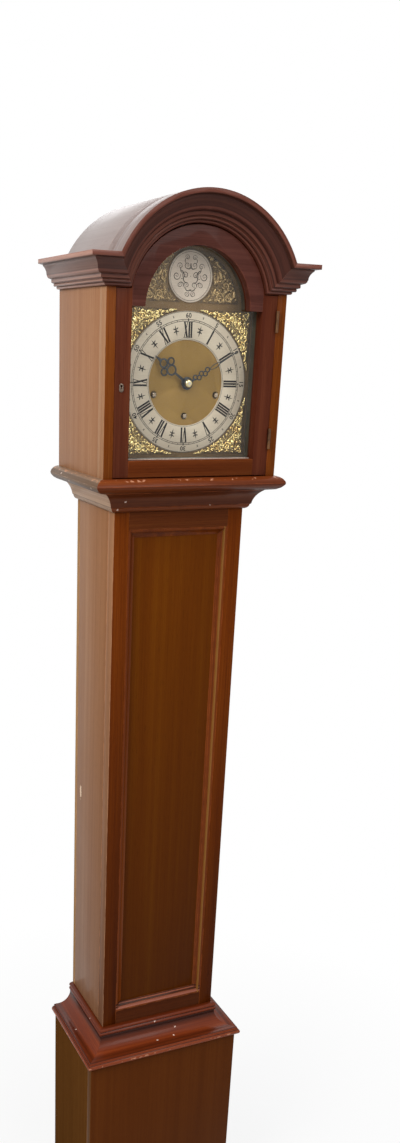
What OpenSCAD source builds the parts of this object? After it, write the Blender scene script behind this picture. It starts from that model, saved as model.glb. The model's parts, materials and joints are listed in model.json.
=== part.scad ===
// Small longcase clock with a break-arch hood, a panelled trunk and a plinth.
// The frame: X to the clock's right as seen from the front, Y to the back, Z up.
// The origin lies on the floor under the middle of the clock's overall depth and width.

/* [Plinth] */
// Width of the plinth
plinth_w = 257; // [240:1:320]
// Height of the plinth up to the base moulding
plinth_h = 327; // [240:1:400]
// Thickness of the plinth boards
plinth_board = 14; // [10:0.5:17]
// Height of the skirting round the foot of the plinth
skirting_h = 42; // [25:1:70]
// Thickness of the skirting
skirting_t = 8; // [5:0.5:12]
// Height of the base moulding between the plinth and the trunk
base_mould_h = 50; // [50:1:60]

/* [Trunk] */
// Width of the trunk
trunk_w = 194; // [160:1:230]
// Height of the trunk between its two mouldings
trunk_h = 812; // [640:1:980]
// Thickness of the trunk side boards
trunk_board = 12; // [9:0.5:16]
// Thickness of the trunk's front frame
frame_t = 20; // [16:0.5:24]
// Width of the frame's stiles
stile_w = 22; // [18:0.5:30]
// Height of each rail that shows between a moulding and the panel
rail_h = 24; // [18:0.5:40]
// Thickness of the trunk panel
panel_t = 6; // [4:0.5:8]
// Depth of the panel's face behind the frame's face
panel_recess = 8; // [6:0.5:10]
// Depth that the panel goes into its groove
panel_tongue = 5; // [3:0.5:7]
// Width of the moulding round the panel
panel_mould_w = 11.5; // [9:0.5:16]
// Length of the trunk that laps down inside the plinth
trunk_lap = 27; // [15:1:60]
// Height of the waist moulding under the hood
waist_mould_h = 47; // [47:1:55]

/* [Hood] */
// Width of the hood across its side boards
hood_w = 252; // [246:1:310]
// Depth of the hood from its front to the back of the case
hood_d = 165; // [160:1:220]
// Height of the hood from the waist moulding to the underside of the cornice
hood_h = 228; // [226:1:280]
// Thickness of the hood side boards
hood_board = 12; // [9:0.5:15]
// Width of each front post
post_w = 13; // [11:0.5:16]
// Thickness of the curved roof
roof_t = 5; // [3:0.5:8]
// Thickness of the backboard and of the rear panel
back_t = 8.5; // [6:0.5:12]
// Width of the hood's shoulder beside the arch
arch_shoulder = 30; // [28:0.5:38]
// Height of the cornice
cornice_h = 35.5; // [35.5:0.5:40]
// Projection of the cornice beyond the hood
cornice_out = 30; // [30:0.5:36]
// Distance of the arch's centre below the underside of the cornice
arch_drop = 20.5; // [16:0.5:24]

/* [Hood door] */
// Thickness of the door
door_t = 19; // [16:0.5:22]
// Clearance between the closed door and the dial's mask
door_back_gap = 1; // [0.5:0.25:2]
// Width of the door's stiles and rails
door_rail = 21; // [18:0.5:26]
// Gap between the door and the hood round it
door_gap = 0.6; // [0.4:0.1:1.5]
// Width of the shoulders of the door's opening
shoulder_w = 18; // [14:0.5:24]
// Thickness of the glass
glass_t = 2; // [1.5:0.5:4]
// Depth of the rebate that holds the glass, measured sideways
glass_rebate = 5; // [4:0.5:7]
// Length of each hinge
hinge_l = 26; // [20:1:40]
// Height of the keyhole above the foot of the hood
keyhole_up = 112; // [90:1:140]

/* [Dial] */
// Depth of the dial's face behind the front of the hood
dial_setback = 30; // [28:0.5:36]
// Thickness of the dial plate
dial_t = 2; // [1.5:0.5:3]
// Outer radius of the chapter ring
ring_r = 87.5; // [80:0.5:88]
// Inner radius of the chapter ring
ring_in = 53; // [46:0.5:58]
// Height of the dial's centre above the foot of the hood
dial_up = 117; // [115:0.5:120]
// Radius of the boss in the arch
boss_r = 30.5; // [24:0.5:34]
// Drop of the outer winding squares below the centre
wind_drop = 14.5; // [10:0.5:18]
// Drop of the middle winding square below the centre
wind_low = 41; // [38:0.5:46]
// Size of the winding squares across their flats
square_af = 4.75; // [4:0.25:5]
// Radius of the winding holes
wind_hole = 4.2; // [3.8:0.1:5]

/* [Movement] */
// Width of the movement's plates
plate_w = 132; // [124:1:150]
// Thickness of the plates
plate_t = 3; // [2:0.5:4]
// Distance between the plates
plate_gap = 50; // [46:1:54]
// Radius of the spring barrels
barrel_r = 22; // [18:0.5:24]
// Gap between one spring barrel and the next across the movement
barrel_gap = 1; // [0.5:0.25:4]
// Length of the pendulum from its pivot to the middle of the bob
pendulum_l = 220; // [180:1:260]
// Radius of the pendulum bob
bob_r = 30; // [22:1:34]
// Thickness of the seat board
seat_t = 14; // [10:0.5:18]
// Radius of the gong rods
gong_r = 2.5; // [1.5:0.25:3]
// Length of the longest gong rod
gong_l = 280; // [200:5:320]

/* [Hidden] */
$fn = 96;

// Heights
z_base = plinth_h;
z_trunk = z_base + base_mould_h;
z_waist = z_trunk + trunk_h;
z_hood = z_waist + waist_mould_h;
z_cornice = z_hood + hood_h;
z_cornice_top = z_cornice + cornice_h;
z_arch = z_cornice - arch_drop;
arch_r = hood_w / 2 - arch_shoulder;
roof_r = arch_r + cornice_h;
z_dial = z_hood + dial_up;

// Half widths and depths
hood_x = hood_w / 2;
trunk_x = trunk_w / 2;
plinth_x = plinth_w / 2;
waist_step = hood_x - trunk_x;
base_step = plinth_x - trunk_x;
y_back = (hood_d + cornice_out) / 2;
y_hood = y_back - hood_d;
y_trunk = y_hood + waist_step;
y_plinth = y_trunk - base_step;
y_board = y_back - back_t;

// Hood front and door
hood_front_t = door_t + door_back_gap;
y_posts = y_hood + hood_front_t;
post_in = hood_x - post_w;
door_x = post_in - door_gap;
door_foot = z_hood + 1.5;
door_shoulder = z_cornice - 2;
door_r = arch_r - 1.5;
y_door = y_hood + door_t;
open_x = door_x - door_rail;
open_foot = door_foot + door_rail;
open_shoulder = door_shoulder - 19.5;
open_r = open_x - shoulder_w;
z_open_arch = z_arch - 2;
y_glass = y_hood + 11.5;
bead_t = 4;
fit = 0.3;
mitre_gap = 0.1;

// Hinges: the pin stands just proud of the hood's front
pin_x = post_in - door_gap / 2;
knuckle_r = 2;
pin_y = y_hood - knuckle_r - 0.1;
pin_r = 0.9;
run = 0.05;
leaf_t = 1.1;
// The closing edge is planed back so that its inner corner swings clear of the post
closing_gap = pow(y_door - pin_y, 2) / (4 * post_in) + 0.2;
leaf_d = 15;
hinge_z = [z_hood + 49, z_hood + hood_h - 33];
knuckle_l = 8;

// Lock
lock_x = -(door_x - 9);
lock_z = z_hood + keyhole_up;
bolt_travel = 5;
bolt_h = 8;
bolt_t = 4;
y_bolt = y_hood + 12;
lock_h = 28;
lock_d = 8;
lock_w = 13.6;

// Dial
y_dial = y_hood + dial_setback;
dial_x = open_x + 5.5;
dial_foot = open_foot - 3;
dial_shoulder = open_shoulder + 5;
dial_arch_r = open_r + 10.5;
ring_t = 1.2;
cast_t = 2;
boss_drop = 3.4;
z_boss = z_open_arch + open_r - boss_drop - boss_r;
centre_hole = 5.2;
wind_out = 2 * barrel_r + barrel_gap;
wind_at = [[-wind_out, -wind_drop], [0, -wind_low], [wind_out, -wind_drop]];

// Movement
y_front_plate = y_dial + dial_t + 16;
y_front_in = y_front_plate + plate_t;
y_back_plate = y_front_in + plate_gap;
y_back_out = y_back_plate + plate_t;
wheel_r = barrel_r + 3;
z_seat = z_dial - wind_low - wheel_r - 4;
z_plate_top = z_dial + 61;
pillar_x = plate_w / 2 - 8;
arbor_r = 3;
gear_mod = 1;
motion_gap = 24;
cannon_teeth = 12;
minute_teeth = 36;
pinion_teeth = 10;
hour_teeth = 40;
pinion_mod = 2 * motion_gap / (pinion_teeth + hour_teeth);
y_cannon = y_front_plate - 3.5;
y_hour_wheel = y_cannon - 5;
sleeve_r = 3;
pipe_r = 4.2;
y_hour_hand = y_dial - 5.5;
y_minute_hand = y_dial - 8.5;
hand_t = 1;
minute_angle = 60;
hour_angle = 305;

// Pendulum
z_pivot = z_dial + 37;
y_rod = y_back_out + 15;
rod_r = 1.5;
bob_t = 12;
anchor_arbor_r = 1.2;

// Gong and hammers
hammers_n = 5;
hammer_pitch = 8;
hammer_x = 26;
y_hammer = y_back_out + 22;
z_hammer = z_seat + 19;
hammer_drop = 60;
hammer_head_r = 3.4;
hammer_head_l = 24;
y_gong = y_hammer + hammer_head_l / 2 + 3.5 + gong_r;
gong_block_h = 16;

wood = "sienna";
dark_wood = "saddlebrown";
steel = "silver";
brass = "goldenrod";

// ---- Helpers -----------------------------------------------------------------

module board(x0, x1, y0, y1, z0, z1)
    translate([x0, y0, z0]) cube([x1 - x0, y1 - y0, z1 - z0]);

module both_sides() {
    children();
    mirror([1, 0, 0]) children();
}

// A flat shape drawn as X and Z, given its thickness from y0 to y1
module slab(y0, y1)
    translate([0, y1, 0]) rotate([90, 0, 0]) linear_extrude(y1 - y0) children();

// A round bar along Y at x, z
module rod_y(r, y0, y1, x, z)
    translate([x, y1, z]) rotate([90, 0, 0]) cylinder(r = r, h = y1 - y0);

// A moulding profile drawn as distance out and height, run along X or along Y
module run_x(len)
    mirror([0, 1, 0]) rotate([90, 0, 90]) linear_extrude(len, center = true) children();

module run_y(y0, y1)
    translate([0, y1, 0]) rotate([90, 0, 0]) linear_extrude(y1 - y0) children();

// The front of a moulding that is mitred round the case at its two front corners
module front_length(half_w, y_face, inn, out, z0, z1)
    intersection() {
        translate([0, y_face, 0]) run_x(2 * (half_w + out)) children();
        translate([0, 0, z0]) linear_extrude(z1 - z0) polygon([
            [-half_w - out + mitre_gap, y_face - out], [half_w + out - mitre_gap, y_face - out],
            [half_w - inn - mitre_gap, y_face + inn], [-half_w + inn + mitre_gap, y_face + inn]
        ]);
    }

// The right-hand return of the same moulding
module side_length(half_w, y_face, inn, out, z0, z1)
    intersection() {
        translate([half_w, 0, 0]) run_y(y_face - out, y_back) children();
        translate([0, 0, z0]) linear_extrude(z1 - z0) polygon([
            [half_w - inn, y_face + inn], [half_w + out, y_face - out],
            [half_w + out, y_back], [half_w - inn, y_back]
        ]);
    }

module three_lengths(half_w, y_face, inn, out, z0, z1) {
    front_length(half_w, y_face, inn, out, z0, z1) children();
    both_sides() side_length(half_w, y_face, inn, out, z0, z1) children();
}

// Points of an arc round c from angle a0 to a1
function arc(c, r, a0, a1, n = 8) =
    [for (i = [0:n]) c + r * [cos(a0 + (a1 - a0) * i / n), sin(a0 + (a1 - a0) * i / n)]];

// ---- Moulding profiles, each as [distance out, height] -------------------------

// Two reeds, a fillet, a round and a hollow under a flat fascia; from 0 up
cornice_points = concat(
    [[0, 0]],
    arc([2.4, 2.2], 2.2, -90, 40, 5),
    arc([6.4, 5.2], 2.2, -60, 40, 5),
    [[11.8, 8], [11.8, 12], [13.6, 12.4]],
    arc([13.6, 17], 4.4, -90, -5, 5),
    arc([31.5, 17.5], 13, 180, 128, 6),
    [[23.7, 29], [cornice_out, 30], [cornice_out, cornice_h], [0, cornice_h]]
);

// A rounded nose over a soffit, a large hollow and a small round; from 0 down
waist_points = concat(
    [[-waist_step, 0], [3, 0], [4.5, -0.5], [7.6, -1.7], [10.2, -3.8], [12, -6.2], [12.7, -8.5],
     [12.3, -10.4], [10.6, -12.6], [8, -15.2], [3, -17.8], [-8, -19.8]],
    arc([8, -44], 28.8, 124, 171, 8),
    arc([-waist_step, -40], 7, -8, -90, 5),
    [[-waist_step, -waist_mould_h]]
);

// Two reeds, a neck, a large hollow, a fillet and a rounded nose; from 0 down
base_points = concat(
    [[0, 0]],
    arc([3, -4.2], 3.6, 80, -60, 6),
    arc([3.2, -10.8], 3.6, 60, -70, 6),
    [[5, -15], [5, -19]],
    arc([26, -16], 21.2, 188, 281, 10),
    [[34, -37.4], [34, -40.5]],
    arc([32.5, -45], 5.5, 62, -50, 6),
    [[base_step, -base_mould_h], [0, -base_mould_h]]
);

skirting_points = [
    [0, 0], [skirting_t, 0], [skirting_t, skirting_h - 8], [skirting_t - 1, skirting_h - 6],
    [skirting_t - 4, skirting_h - 1], [skirting_t - 5, skirting_h], [0, skirting_h]
];

// Across the panel moulding, as [distance in from the frame, depth behind its face]
panel_mould_points = concat(
    [[0, panel_recess], [0, 0.4], [1.2, 0.2]],
    arc([1.8, 3], 2.8, -80, -10, 4),
    [[5.2, 4.6], [panel_mould_w - 3, 6.2], [panel_mould_w - 3, 7], [panel_mould_w, 7.4],
     [panel_mould_w, panel_recess]]
);

// The curved mitre where the arched cornice meets the straight one
mitre_steps = 6;
function mitre(h) = [
    sqrt(pow(arch_r + h, 2) - pow(arch_drop + h, 2)),
    z_cornice + h
];
mitre_points = [for (i = [0:mitre_steps]) mitre(cornice_h * i / mitre_steps)];
mitre_back = [for (i = [mitre_steps:-1:0]) mitre_points[i]];
function flip(p) = [-p[0], p[1]];

// ---- Flat outlines in X and Z ---------------------------------------------------

module arched(half_w, foot, shoulder, r, zc) {
    translate([-half_w, foot]) square([2 * half_w, shoulder - foot]);
    translate([0, zc]) circle(r = r, $fn = 180);
}

// The door's opening, made larger all round by grow
module door_opening(grow)
    arched(open_x + grow, open_foot - grow, open_shoulder + grow, open_r + grow, z_open_arch);

module door_outline() arched(door_x, door_foot, door_shoulder, door_r, z_arch);

module toothed(teeth, mod) {
    r = teeth * mod / 2;
    step = 360 / teeth;
    polygon([for (i = [0:teeth - 1], k = [0:3])
        let (a = i * step + step * [-0.24, -0.11, 0.11, 0.24][k])
        let (q = k == 0 || k == 3 ? r - 1.1 * mod : r + 0.75 * mod)
        [q * cos(a), q * sin(a)]]);
}

// ---- Plinth -----------------------------------------------------------------------

module plinth_front()
    color(wood) board(-plinth_x, plinth_x, y_plinth, y_plinth + plinth_board, 0, z_base);

module plinth_sides()
    color(wood) both_sides()
        board(plinth_x - plinth_board, plinth_x, y_plinth + plinth_board, y_back, 0, z_base);

module skirting()
    color(dark_wood) three_lengths(plinth_x, y_plinth, 0, skirting_t, 0, skirting_h)
        polygon(skirting_points);

module bottom_board()
    color(dark_wood) board(-plinth_x + plinth_board, plinth_x - plinth_board,
        y_plinth + plinth_board, y_board, 0, 10);

module plinth_fillers()
    color(dark_wood) {
        board(-plinth_x + plinth_board, plinth_x - plinth_board,
            y_plinth + plinth_board, y_trunk, z_base - trunk_lap, z_base);
        both_sides() board(trunk_x, plinth_x - plinth_board, y_trunk, y_board,
            z_base - trunk_lap, z_base);
    }

module base_moulding()
    color(wood) three_lengths(trunk_x, y_trunk, 0, 38, z_base, z_trunk)
        translate([0, z_trunk]) polygon(base_points);

// ---- Trunk ------------------------------------------------------------------------

z_frame = z_base - trunk_lap;
z_cheek = z_seat - seat_t;
panel_foot = z_trunk + rail_h;
panel_top = z_waist - rail_h;
panel_x = trunk_x - stile_w;

module trunk_side()
    board(trunk_x - trunk_board, trunk_x, y_trunk + frame_t, y_board, z_frame, z_cheek);

module trunk_side_left() color(wood) mirror([1, 0, 0]) trunk_side();
module trunk_side_right() color(wood) trunk_side();

module trunk_panel()
    color(dark_wood) board(-panel_x - panel_tongue, panel_x + panel_tongue,
        y_trunk + panel_recess, y_trunk + panel_recess + panel_t,
        panel_foot - panel_tongue, panel_top + panel_tongue);

module panel_groove()
    board(-panel_x - panel_tongue, panel_x + panel_tongue,
        y_trunk + panel_recess, y_trunk + panel_recess + panel_t,
        panel_foot - panel_tongue, panel_top + panel_tongue);

module trunk_stiles()
    color(wood) both_sides() difference() {
        board(panel_x, trunk_x, y_trunk, y_trunk + frame_t, z_frame, z_hood);
        panel_groove();
    }

module trunk_rails()
    color(wood) difference() {
        union() {
            board(-panel_x, panel_x, y_trunk, y_trunk + frame_t, z_frame, panel_foot);
            board(-panel_x, panel_x, y_trunk, y_trunk + frame_t, panel_top, z_hood);
        }
        panel_groove();
    }

module panel_moulding() {
    w = panel_mould_w;
    points = [for (p = panel_mould_points) [p[0], y_trunk + p[1]]];
    color(wood) both_sides() intersection() {
        translate([-panel_x, 0, panel_foot]) linear_extrude(panel_top - panel_foot)
            polygon(points);
        slab(y_trunk, y_trunk + panel_recess) polygon([
            [-panel_x, panel_foot + mitre_gap], [-panel_x + w, panel_foot + w + mitre_gap],
            [-panel_x + w, panel_top - w - mitre_gap], [-panel_x, panel_top - mitre_gap]
        ]);
    }
    color(wood) for (end = [0, 1])
        translate([0, 0, end * (panel_foot + panel_top)]) mirror([0, 0, end]) intersection() {
            translate([0, 0, panel_foot]) rotate([90, 0, 90])
                linear_extrude(2 * panel_x, center = true)
                    polygon([for (p = points) [p[1], p[0]]]);
            slab(y_trunk, y_trunk + panel_recess) polygon([
                [-panel_x, panel_foot], [panel_x, panel_foot],
                [panel_x - w, panel_foot + w], [-panel_x + w, panel_foot + w]
            ]);
        }
}

module backboard()
    color(dark_wood) {
        slab(y_board, y_back) {
            translate([-plinth_x + plinth_board, 0])
                square([2 * (plinth_x - plinth_board), z_base]);
            translate([-trunk_x, 0]) square([trunk_w, z_hood]);
        }
    }

module waist_moulding()
    color(wood) three_lengths(hood_x, y_hood, waist_step, 12.7, z_waist, z_hood)
        translate([0, z_hood]) polygon(waist_points);

// ---- Hood -------------------------------------------------------------------------

rear_rebate = 6;
screw_r = 1.5;
screw_head_r = 3.2;
screw_l = 16;
screw_at = [for (x = [-1, 1], z = [z_hood + 20, z_hood + 120, z_cornice_top - 16])
    [x * (hood_x - hood_board + rear_rebate / 2), z]];

module rear_screw(x, z, slack = 0) {
    rod_y(screw_r + slack, y_back - 2 - screw_l, y_back - 2, x, z);
    rod_y(screw_head_r + slack, y_back - 2, y_back, x, z);
}

module hood_side()
    difference() {
        board(hood_x - hood_board, hood_x, y_posts, y_back, z_hood, z_cornice_top);
        board(hood_x - hood_board - 1, hood_x - hood_board + rear_rebate,
            y_board, y_back + 1, z_hood - 1, z_cornice_top + 1);
        for (s = screw_at) rear_screw(s[0], s[1]);
    }

module hood_side_left() color(wood) mirror([1, 0, 0]) hood_side();
module hood_side_right() color(wood) hood_side();

module hinge_leaf_place(x0, x1)
    for (z = hinge_z) board(x0, x1, y_hood, y_hood + leaf_d, z - hinge_l / 2, z + hinge_l / 2);

module hood_posts()
    color(wood) difference() {
        both_sides() board(post_in, hood_x, y_hood, y_posts, z_hood, z_cornice - 1);
        hinge_leaf_place(pin_x, pin_x + leaf_t);
        board(-post_in - bolt_travel, -post_in + 1, y_bolt - 0.2, y_bolt + bolt_t + 0.2,
            lock_z - bolt_h / 2 - 0.3, lock_z + bolt_h / 2 + 0.3);
    }

module roof_outline(r)
    intersection() {
        translate([0, z_arch]) circle(r = r, $fn = 180);
        translate([-roof_r, z_cornice_top]) square([2 * roof_r, roof_r]);
    }

module hood_arch_board()
    color(wood) slab(y_hood, y_posts) difference() {
        union() {
            translate([-hood_x, z_cornice - 1]) square([hood_w, cornice_h + 1]);
            roof_outline(roof_r);
        }
        translate([0, z_arch]) circle(r = arch_r, $fn = 180);
    }

module cornice_returns()
    color(wood) {
        both_sides() side_length(hood_x, y_hood, 0, cornice_out, z_cornice, z_cornice_top)
            translate([0, z_cornice]) polygon(cornice_points);
        both_sides() intersection() {
            front_length(hood_x, y_hood, 0, cornice_out, z_cornice, z_cornice_top)
                translate([0, z_cornice]) polygon(cornice_points);
            slab(y_hood - cornice_out - 1, y_hood + 1) polygon(concat(
                [for (p = mitre_points) p + [mitre_gap, 0]],
                [[hood_x + cornice_out + 1, z_cornice_top], [hood_x + cornice_out + 1, z_cornice]]
            ));
        }
    }

module cornice_arch()
    color(wood) intersection() {
        translate([0, y_hood, z_arch]) rotate([90, 0, 0]) rotate_extrude($fn = 180)
            polygon([for (p = cornice_points) [arch_r + p[1], p[0]]]);
        slab(y_hood - cornice_out - 1, y_hood + 1) polygon(concat(
            mitre_points,
            [[2 * roof_r, z_cornice_top], [2 * roof_r, z_arch + 2 * roof_r],
             [-2 * roof_r, z_arch + 2 * roof_r], [-2 * roof_r, z_cornice_top]],
            [for (p = mitre_back) flip(p)]
        ));
    }

module hood_roof()
    color(wood) slab(y_posts, y_back) difference() {
        roof_outline(roof_r);
        roof_outline(roof_r - roof_t);
    }

module rear_access_panel()
    color(dark_wood) difference() {
        slab(y_board, y_back) {
            translate([-hood_x + hood_board - rear_rebate + fit, z_hood + fit])
                square([2 * (hood_x - hood_board + rear_rebate - fit), hood_h + cornice_h - 2 * fit]);
            intersection() {
                translate([0, z_arch]) circle(r = roof_r - roof_t - fit, $fn = 180);
                translate([-roof_r, z_cornice_top - 1]) square([2 * roof_r, roof_r]);
            }
        }
        for (s = screw_at) rear_screw(s[0], s[1]);
    }

module rear_panel_screws()
    color(brass) for (s = screw_at) difference() {
        rear_screw(s[0], s[1]);
        board(s[0] - screw_head_r, s[0] + screw_head_r, y_back - 0.8, y_back + 1,
            s[1] - 0.4, s[1] + 0.4);
    }

hammers_end = hammer_x + (hammers_n - 1) * hammer_pitch;

module seat_board()
    color(dark_wood) difference() {
        board(-trunk_x, trunk_x, y_front_plate - 11, y_board, z_cheek, z_seat);
        board(-20, hammers_end + 8, y_back_out + 7, y_hammer + 7, z_cheek - 1, z_seat + 1);
    }

module dial_mask()
    color("darkslategray") slab(y_posts, y_dial) difference() {
        arched(hood_x - hood_board, z_hood, z_cornice - 2, arch_r + 4, z_arch);
        arched(open_x + 2.3, open_foot + 0.6, open_shoulder + 2, open_r + 3.5, z_open_arch);
    }

// ---- Hinges: two knuckles and the pin on the post, one knuckle on the door ----------

module knuckle(z, h)
    translate([pin_x, pin_y, z]) cylinder(r = knuckle_r, h = h, $fn = 48);

module fixed_hinge_leaves()
    color(brass) for (z = hinge_z) {
        foot = z - hinge_l / 2;
        difference() {
            union() {
                board(pin_x, pin_x + leaf_t, pin_y, y_hood + leaf_d, foot, foot + hinge_l);
                knuckle(foot, knuckle_l);
                knuckle(foot + hinge_l - knuckle_l, knuckle_l);
            }
            difference() {
                translate([pin_x, pin_y, foot + knuckle_l])
                    cylinder(r = knuckle_r + 0.2, h = hinge_l - 2 * knuckle_l, $fn = 48);
                translate([pin_x, pin_y, foot]) cylinder(r = pin_r, h = hinge_l, $fn = 48);
            }
        }
        translate([pin_x, pin_y, foot]) cylinder(r = pin_r, h = hinge_l, $fn = 48);
    }

module door_hinge_leaves()
    color(brass) for (z = hinge_z) {
        foot = z - hinge_l / 2;
        middle = hinge_l - 2 * knuckle_l;
        difference() {
            union() {
                board(pin_x - leaf_t - 0.1, pin_x - 0.1, y_hood, y_hood + leaf_d,
                    foot, foot + hinge_l);
                board(pin_x - leaf_t - 0.1, pin_x - 0.1, pin_y, y_hood,
                    foot + knuckle_l + 0.1, foot + hinge_l - knuckle_l - 0.1);
                knuckle(foot + knuckle_l + 0.1, middle - 0.2);
            }
            translate([pin_x, pin_y, foot]) cylinder(r = pin_r + run, h = hinge_l, $fn = 48);
        }
    }

// ---- Hood door ----------------------------------------------------------------------

// A length of the door's frame inside a flat region, with the rebate for the glass
module door_piece()
    difference() {
        slab(y_hood, y_door) difference() {
            intersection() {
                door_outline();
                children();
            }
            door_opening(0);
        }
        slab(y_glass, y_door + 1) door_opening(glass_rebate);
    }

module lock_pocket(slack)
    board(lock_x - lock_w / 2 - slack, lock_x + lock_w / 2 + slack,
        y_bolt - 2, y_bolt - 2 + lock_d + slack, lock_z - lock_h / 2 - slack,
        lock_z + lock_h / 2 + slack);

module keyhole(y0, y1) {
    rod_y(1.3, y0, y1, lock_x, lock_z + 1.5);
    board(lock_x - 0.6, lock_x + 0.6, y0, y1, lock_z - 2.6, lock_z + 1.5);
}

module bolt_space(slack)
    board(-door_x - 1, lock_x + lock_w / 2 - 2, y_bolt - slack, y_bolt + bolt_t + slack,
        lock_z - bolt_h / 2 - slack, lock_z + bolt_h / 2 + slack);

module door_stiles()
    color(wood) difference() {
        door_piece() both_sides()
            translate([open_x, z_hood]) square([door_rail, hood_h + cornice_h]);
        lock_pocket(0);
        keyhole(y_hood - 1, y_bolt);
        bolt_space(0.1);
        hinge_leaf_place(pin_x - leaf_t - 0.1, pin_x);
        translate([0, 0, z_hood]) linear_extrude(hood_h + cornice_h) polygon([
            [-post_in, y_hood], [-door_x, y_hood], [-post_in + closing_gap, y_door],
            [-post_in, y_door]
        ]);
    }

module door_bottom_rail()
    color(wood) door_piece()
        translate([-open_x, z_hood]) square([2 * open_x, door_rail + 3]);

module door_arch_rail()
    color(wood) door_piece()
        translate([-open_x, open_shoulder]) square([2 * open_x, 2 * arch_r]);

module door_glass()
    color("lightblue", 0.4) slab(y_glass, y_glass + glass_t) door_opening(glass_rebate - fit);

module glazing_bead()
    color(dark_wood) slab(y_glass + glass_t, y_glass + glass_t + bead_t) difference() {
        door_opening(glass_rebate);
        door_opening(1);
    }

module lock_case()
    color(brass) difference() {
        lock_pocket(0);
        bolt_space(0.1);
        keyhole(y_hood, y_bolt + 1);
    }

module lock_bolt()
    color(steel) board(-post_in + closing_gap + 0.3, lock_x + lock_w / 2 - 2.2, y_bolt, y_bolt + bolt_t,
        lock_z - bolt_h / 2, lock_z + bolt_h / 2);

module escutcheon()
    color(steel) difference() {
        slab(y_hood - 0.8, y_hood) translate([lock_x, lock_z]) {
            translate([0, 1.5]) circle(r = 3);
            translate([-3, -3]) square([6, 4.5]);
            translate([0, -3]) circle(r = 3);
        }
        keyhole(y_hood - 2, y_hood + 1);
    }

// ---- Dial ---------------------------------------------------------------------------

module winding_holes(r)
    for (p = wind_at) translate([p[0], z_dial + p[1]]) circle(r = r);

module dial_plate()
    color(brass) {
        slab(y_dial, y_dial + dial_t) difference() {
            arched(dial_x, dial_foot, dial_shoulder, dial_arch_r, z_open_arch);
            translate([0, z_dial]) circle(r = centre_hole);
            winding_holes(wind_hole);
        }
        both_sides() for (z = [z_seat + 16, z_plate_top - 12])
            rod_y(3, y_dial + dial_t, y_front_plate, plate_w / 2 - 10, z);
    }

module chapter_ring()
    color(steel) slab(y_dial - ring_t, y_dial) translate([0, z_dial]) difference() {
        circle(r = ring_r, $fn = 180);
        circle(r = ring_in, $fn = 180);
        translate([0, -z_dial]) winding_holes(wind_hole);
    }

corner_half = open_x;
corner_top = ring_r + 2;
corner_in = 17;

module corner_spandrels()
    color(brass) slab(y_dial - cast_t, y_dial) difference() {
        for (x = [-1, 1], z = [-1, 1])
            translate([x * (corner_half + corner_in) / 2, z_dial + z * (corner_top + corner_in) / 2])
                square([corner_half - corner_in, corner_top - corner_in], center = true);
        translate([0, z_dial]) circle(r = ring_r + 0.8, $fn = 180);
    }

module arch_spandrels()
    color(brass) slab(y_dial - cast_t, y_dial) difference() {
        intersection() {
            translate([0, z_open_arch]) circle(r = open_r - 2, $fn = 180);
            translate([-open_r, z_open_arch + 9]) square([2 * open_r, open_r]);
        }
        translate([0, z_boss]) circle(r = boss_r + 2);
    }

module dial_boss()
    color(steel) {
        slab(y_dial - 1.6, y_dial) translate([0, z_boss]) circle(r = boss_r);
        slab(y_dial - 2.6, y_dial - 1.6) translate([0, z_boss]) difference() {
            circle(r = boss_r);
            circle(r = boss_r - 1.6);
        }
    }

// ---- Hands ---------------------------------------------------------------------------

module ring_2d(r, wall) difference() {
    circle(r = r, $fn = 48);
    circle(r = r - wall, $fn = 48);
}

module hour_outline() {
    difference() {
        union() {
            circle(r = 8, $fn = 48);
            polygon([[-2, 6], [2, 6], [1.3, 22], [-1.3, 22]]);
            translate([0, 28]) ring_2d(7, 2.2);
            translate([-8, 35]) ring_2d(5.2, 2);
            translate([8, 35]) ring_2d(5.2, 2);
            translate([0, 42]) ring_2d(6, 2.1);
            polygon([[-2.6, 46], [2.6, 46], [0, 58]]);
        }
        circle(r = pipe_r, $fn = 48);
    }
}

// A pointed loop, l long and w wide from its middle
module lens(l, w) {
    r = (l * l + w * w) / (2 * w);
    intersection() {
        translate([r - w, 0]) circle(r = r, $fn = 96);
        translate([w - r, 0]) circle(r = r, $fn = 96);
    }
}

module minute_outline() {
    difference() {
        union() {
            circle(r = 6, $fn = 48);
            polygon([[-1.5, 5], [1.5, 5], [1, 12], [-1, 12]]);
            for (k = [0:4]) translate([k % 2 == 0 ? -1.4 : 1.4, 12.5 + 5 * k]) ring_2d(3.6, 1.4);
            translate([0, 44.5]) difference() {
                lens(9.5, 2.85);
                lens(8, 1.9);
            }
            polygon([[-1.1, 52.5], [1.1, 52.5], [0.6, 64], [0.45, 81], [-0.45, 81], [-0.6, 64]]);
        }
        circle(r = sleeve_r, $fn = 48);
    }
}

module on_dial(angle, y0)
    translate([0, 0, z_dial]) rotate([0, angle, 0]) slab(y0, y0 + hand_t) children();

module minute_hand() color("black") on_dial(minute_angle, y_minute_hand) minute_outline();
module hour_hand() color("black") on_dial(hour_angle, y_hour_hand) hour_outline();

module hand_nut()
    color(brass) translate([0, y_minute_hand, z_dial]) rotate([90, 0, 0]) rotate_extrude()
        polygon(concat([[arbor_r / 2, 0], [5.2, 0], [5.2, 1]], arc([2.2, 1], 3, 0, 90, 5),
            [[arbor_r / 2, 4]]));

// ---- Movement ---------------------------------------------------------------------------

module plate_outline() {
    translate([-plate_w / 2, z_seat]) square([plate_w, z_plate_top - z_seat]);
}

module front_plate()
    color(brass) {
        slab(y_front_plate, y_front_in) difference() {
            plate_outline();
            winding_holes(arbor_r + run);
            translate([0, z_dial]) circle(r = arbor_r / 2 + run);
            translate([0, z_pivot]) circle(r = anchor_arbor_r + run);
        }
        rod_y(1.5, y_hour_wheel - 2, y_front_plate, 0, z_dial + motion_gap);
    }

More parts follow.
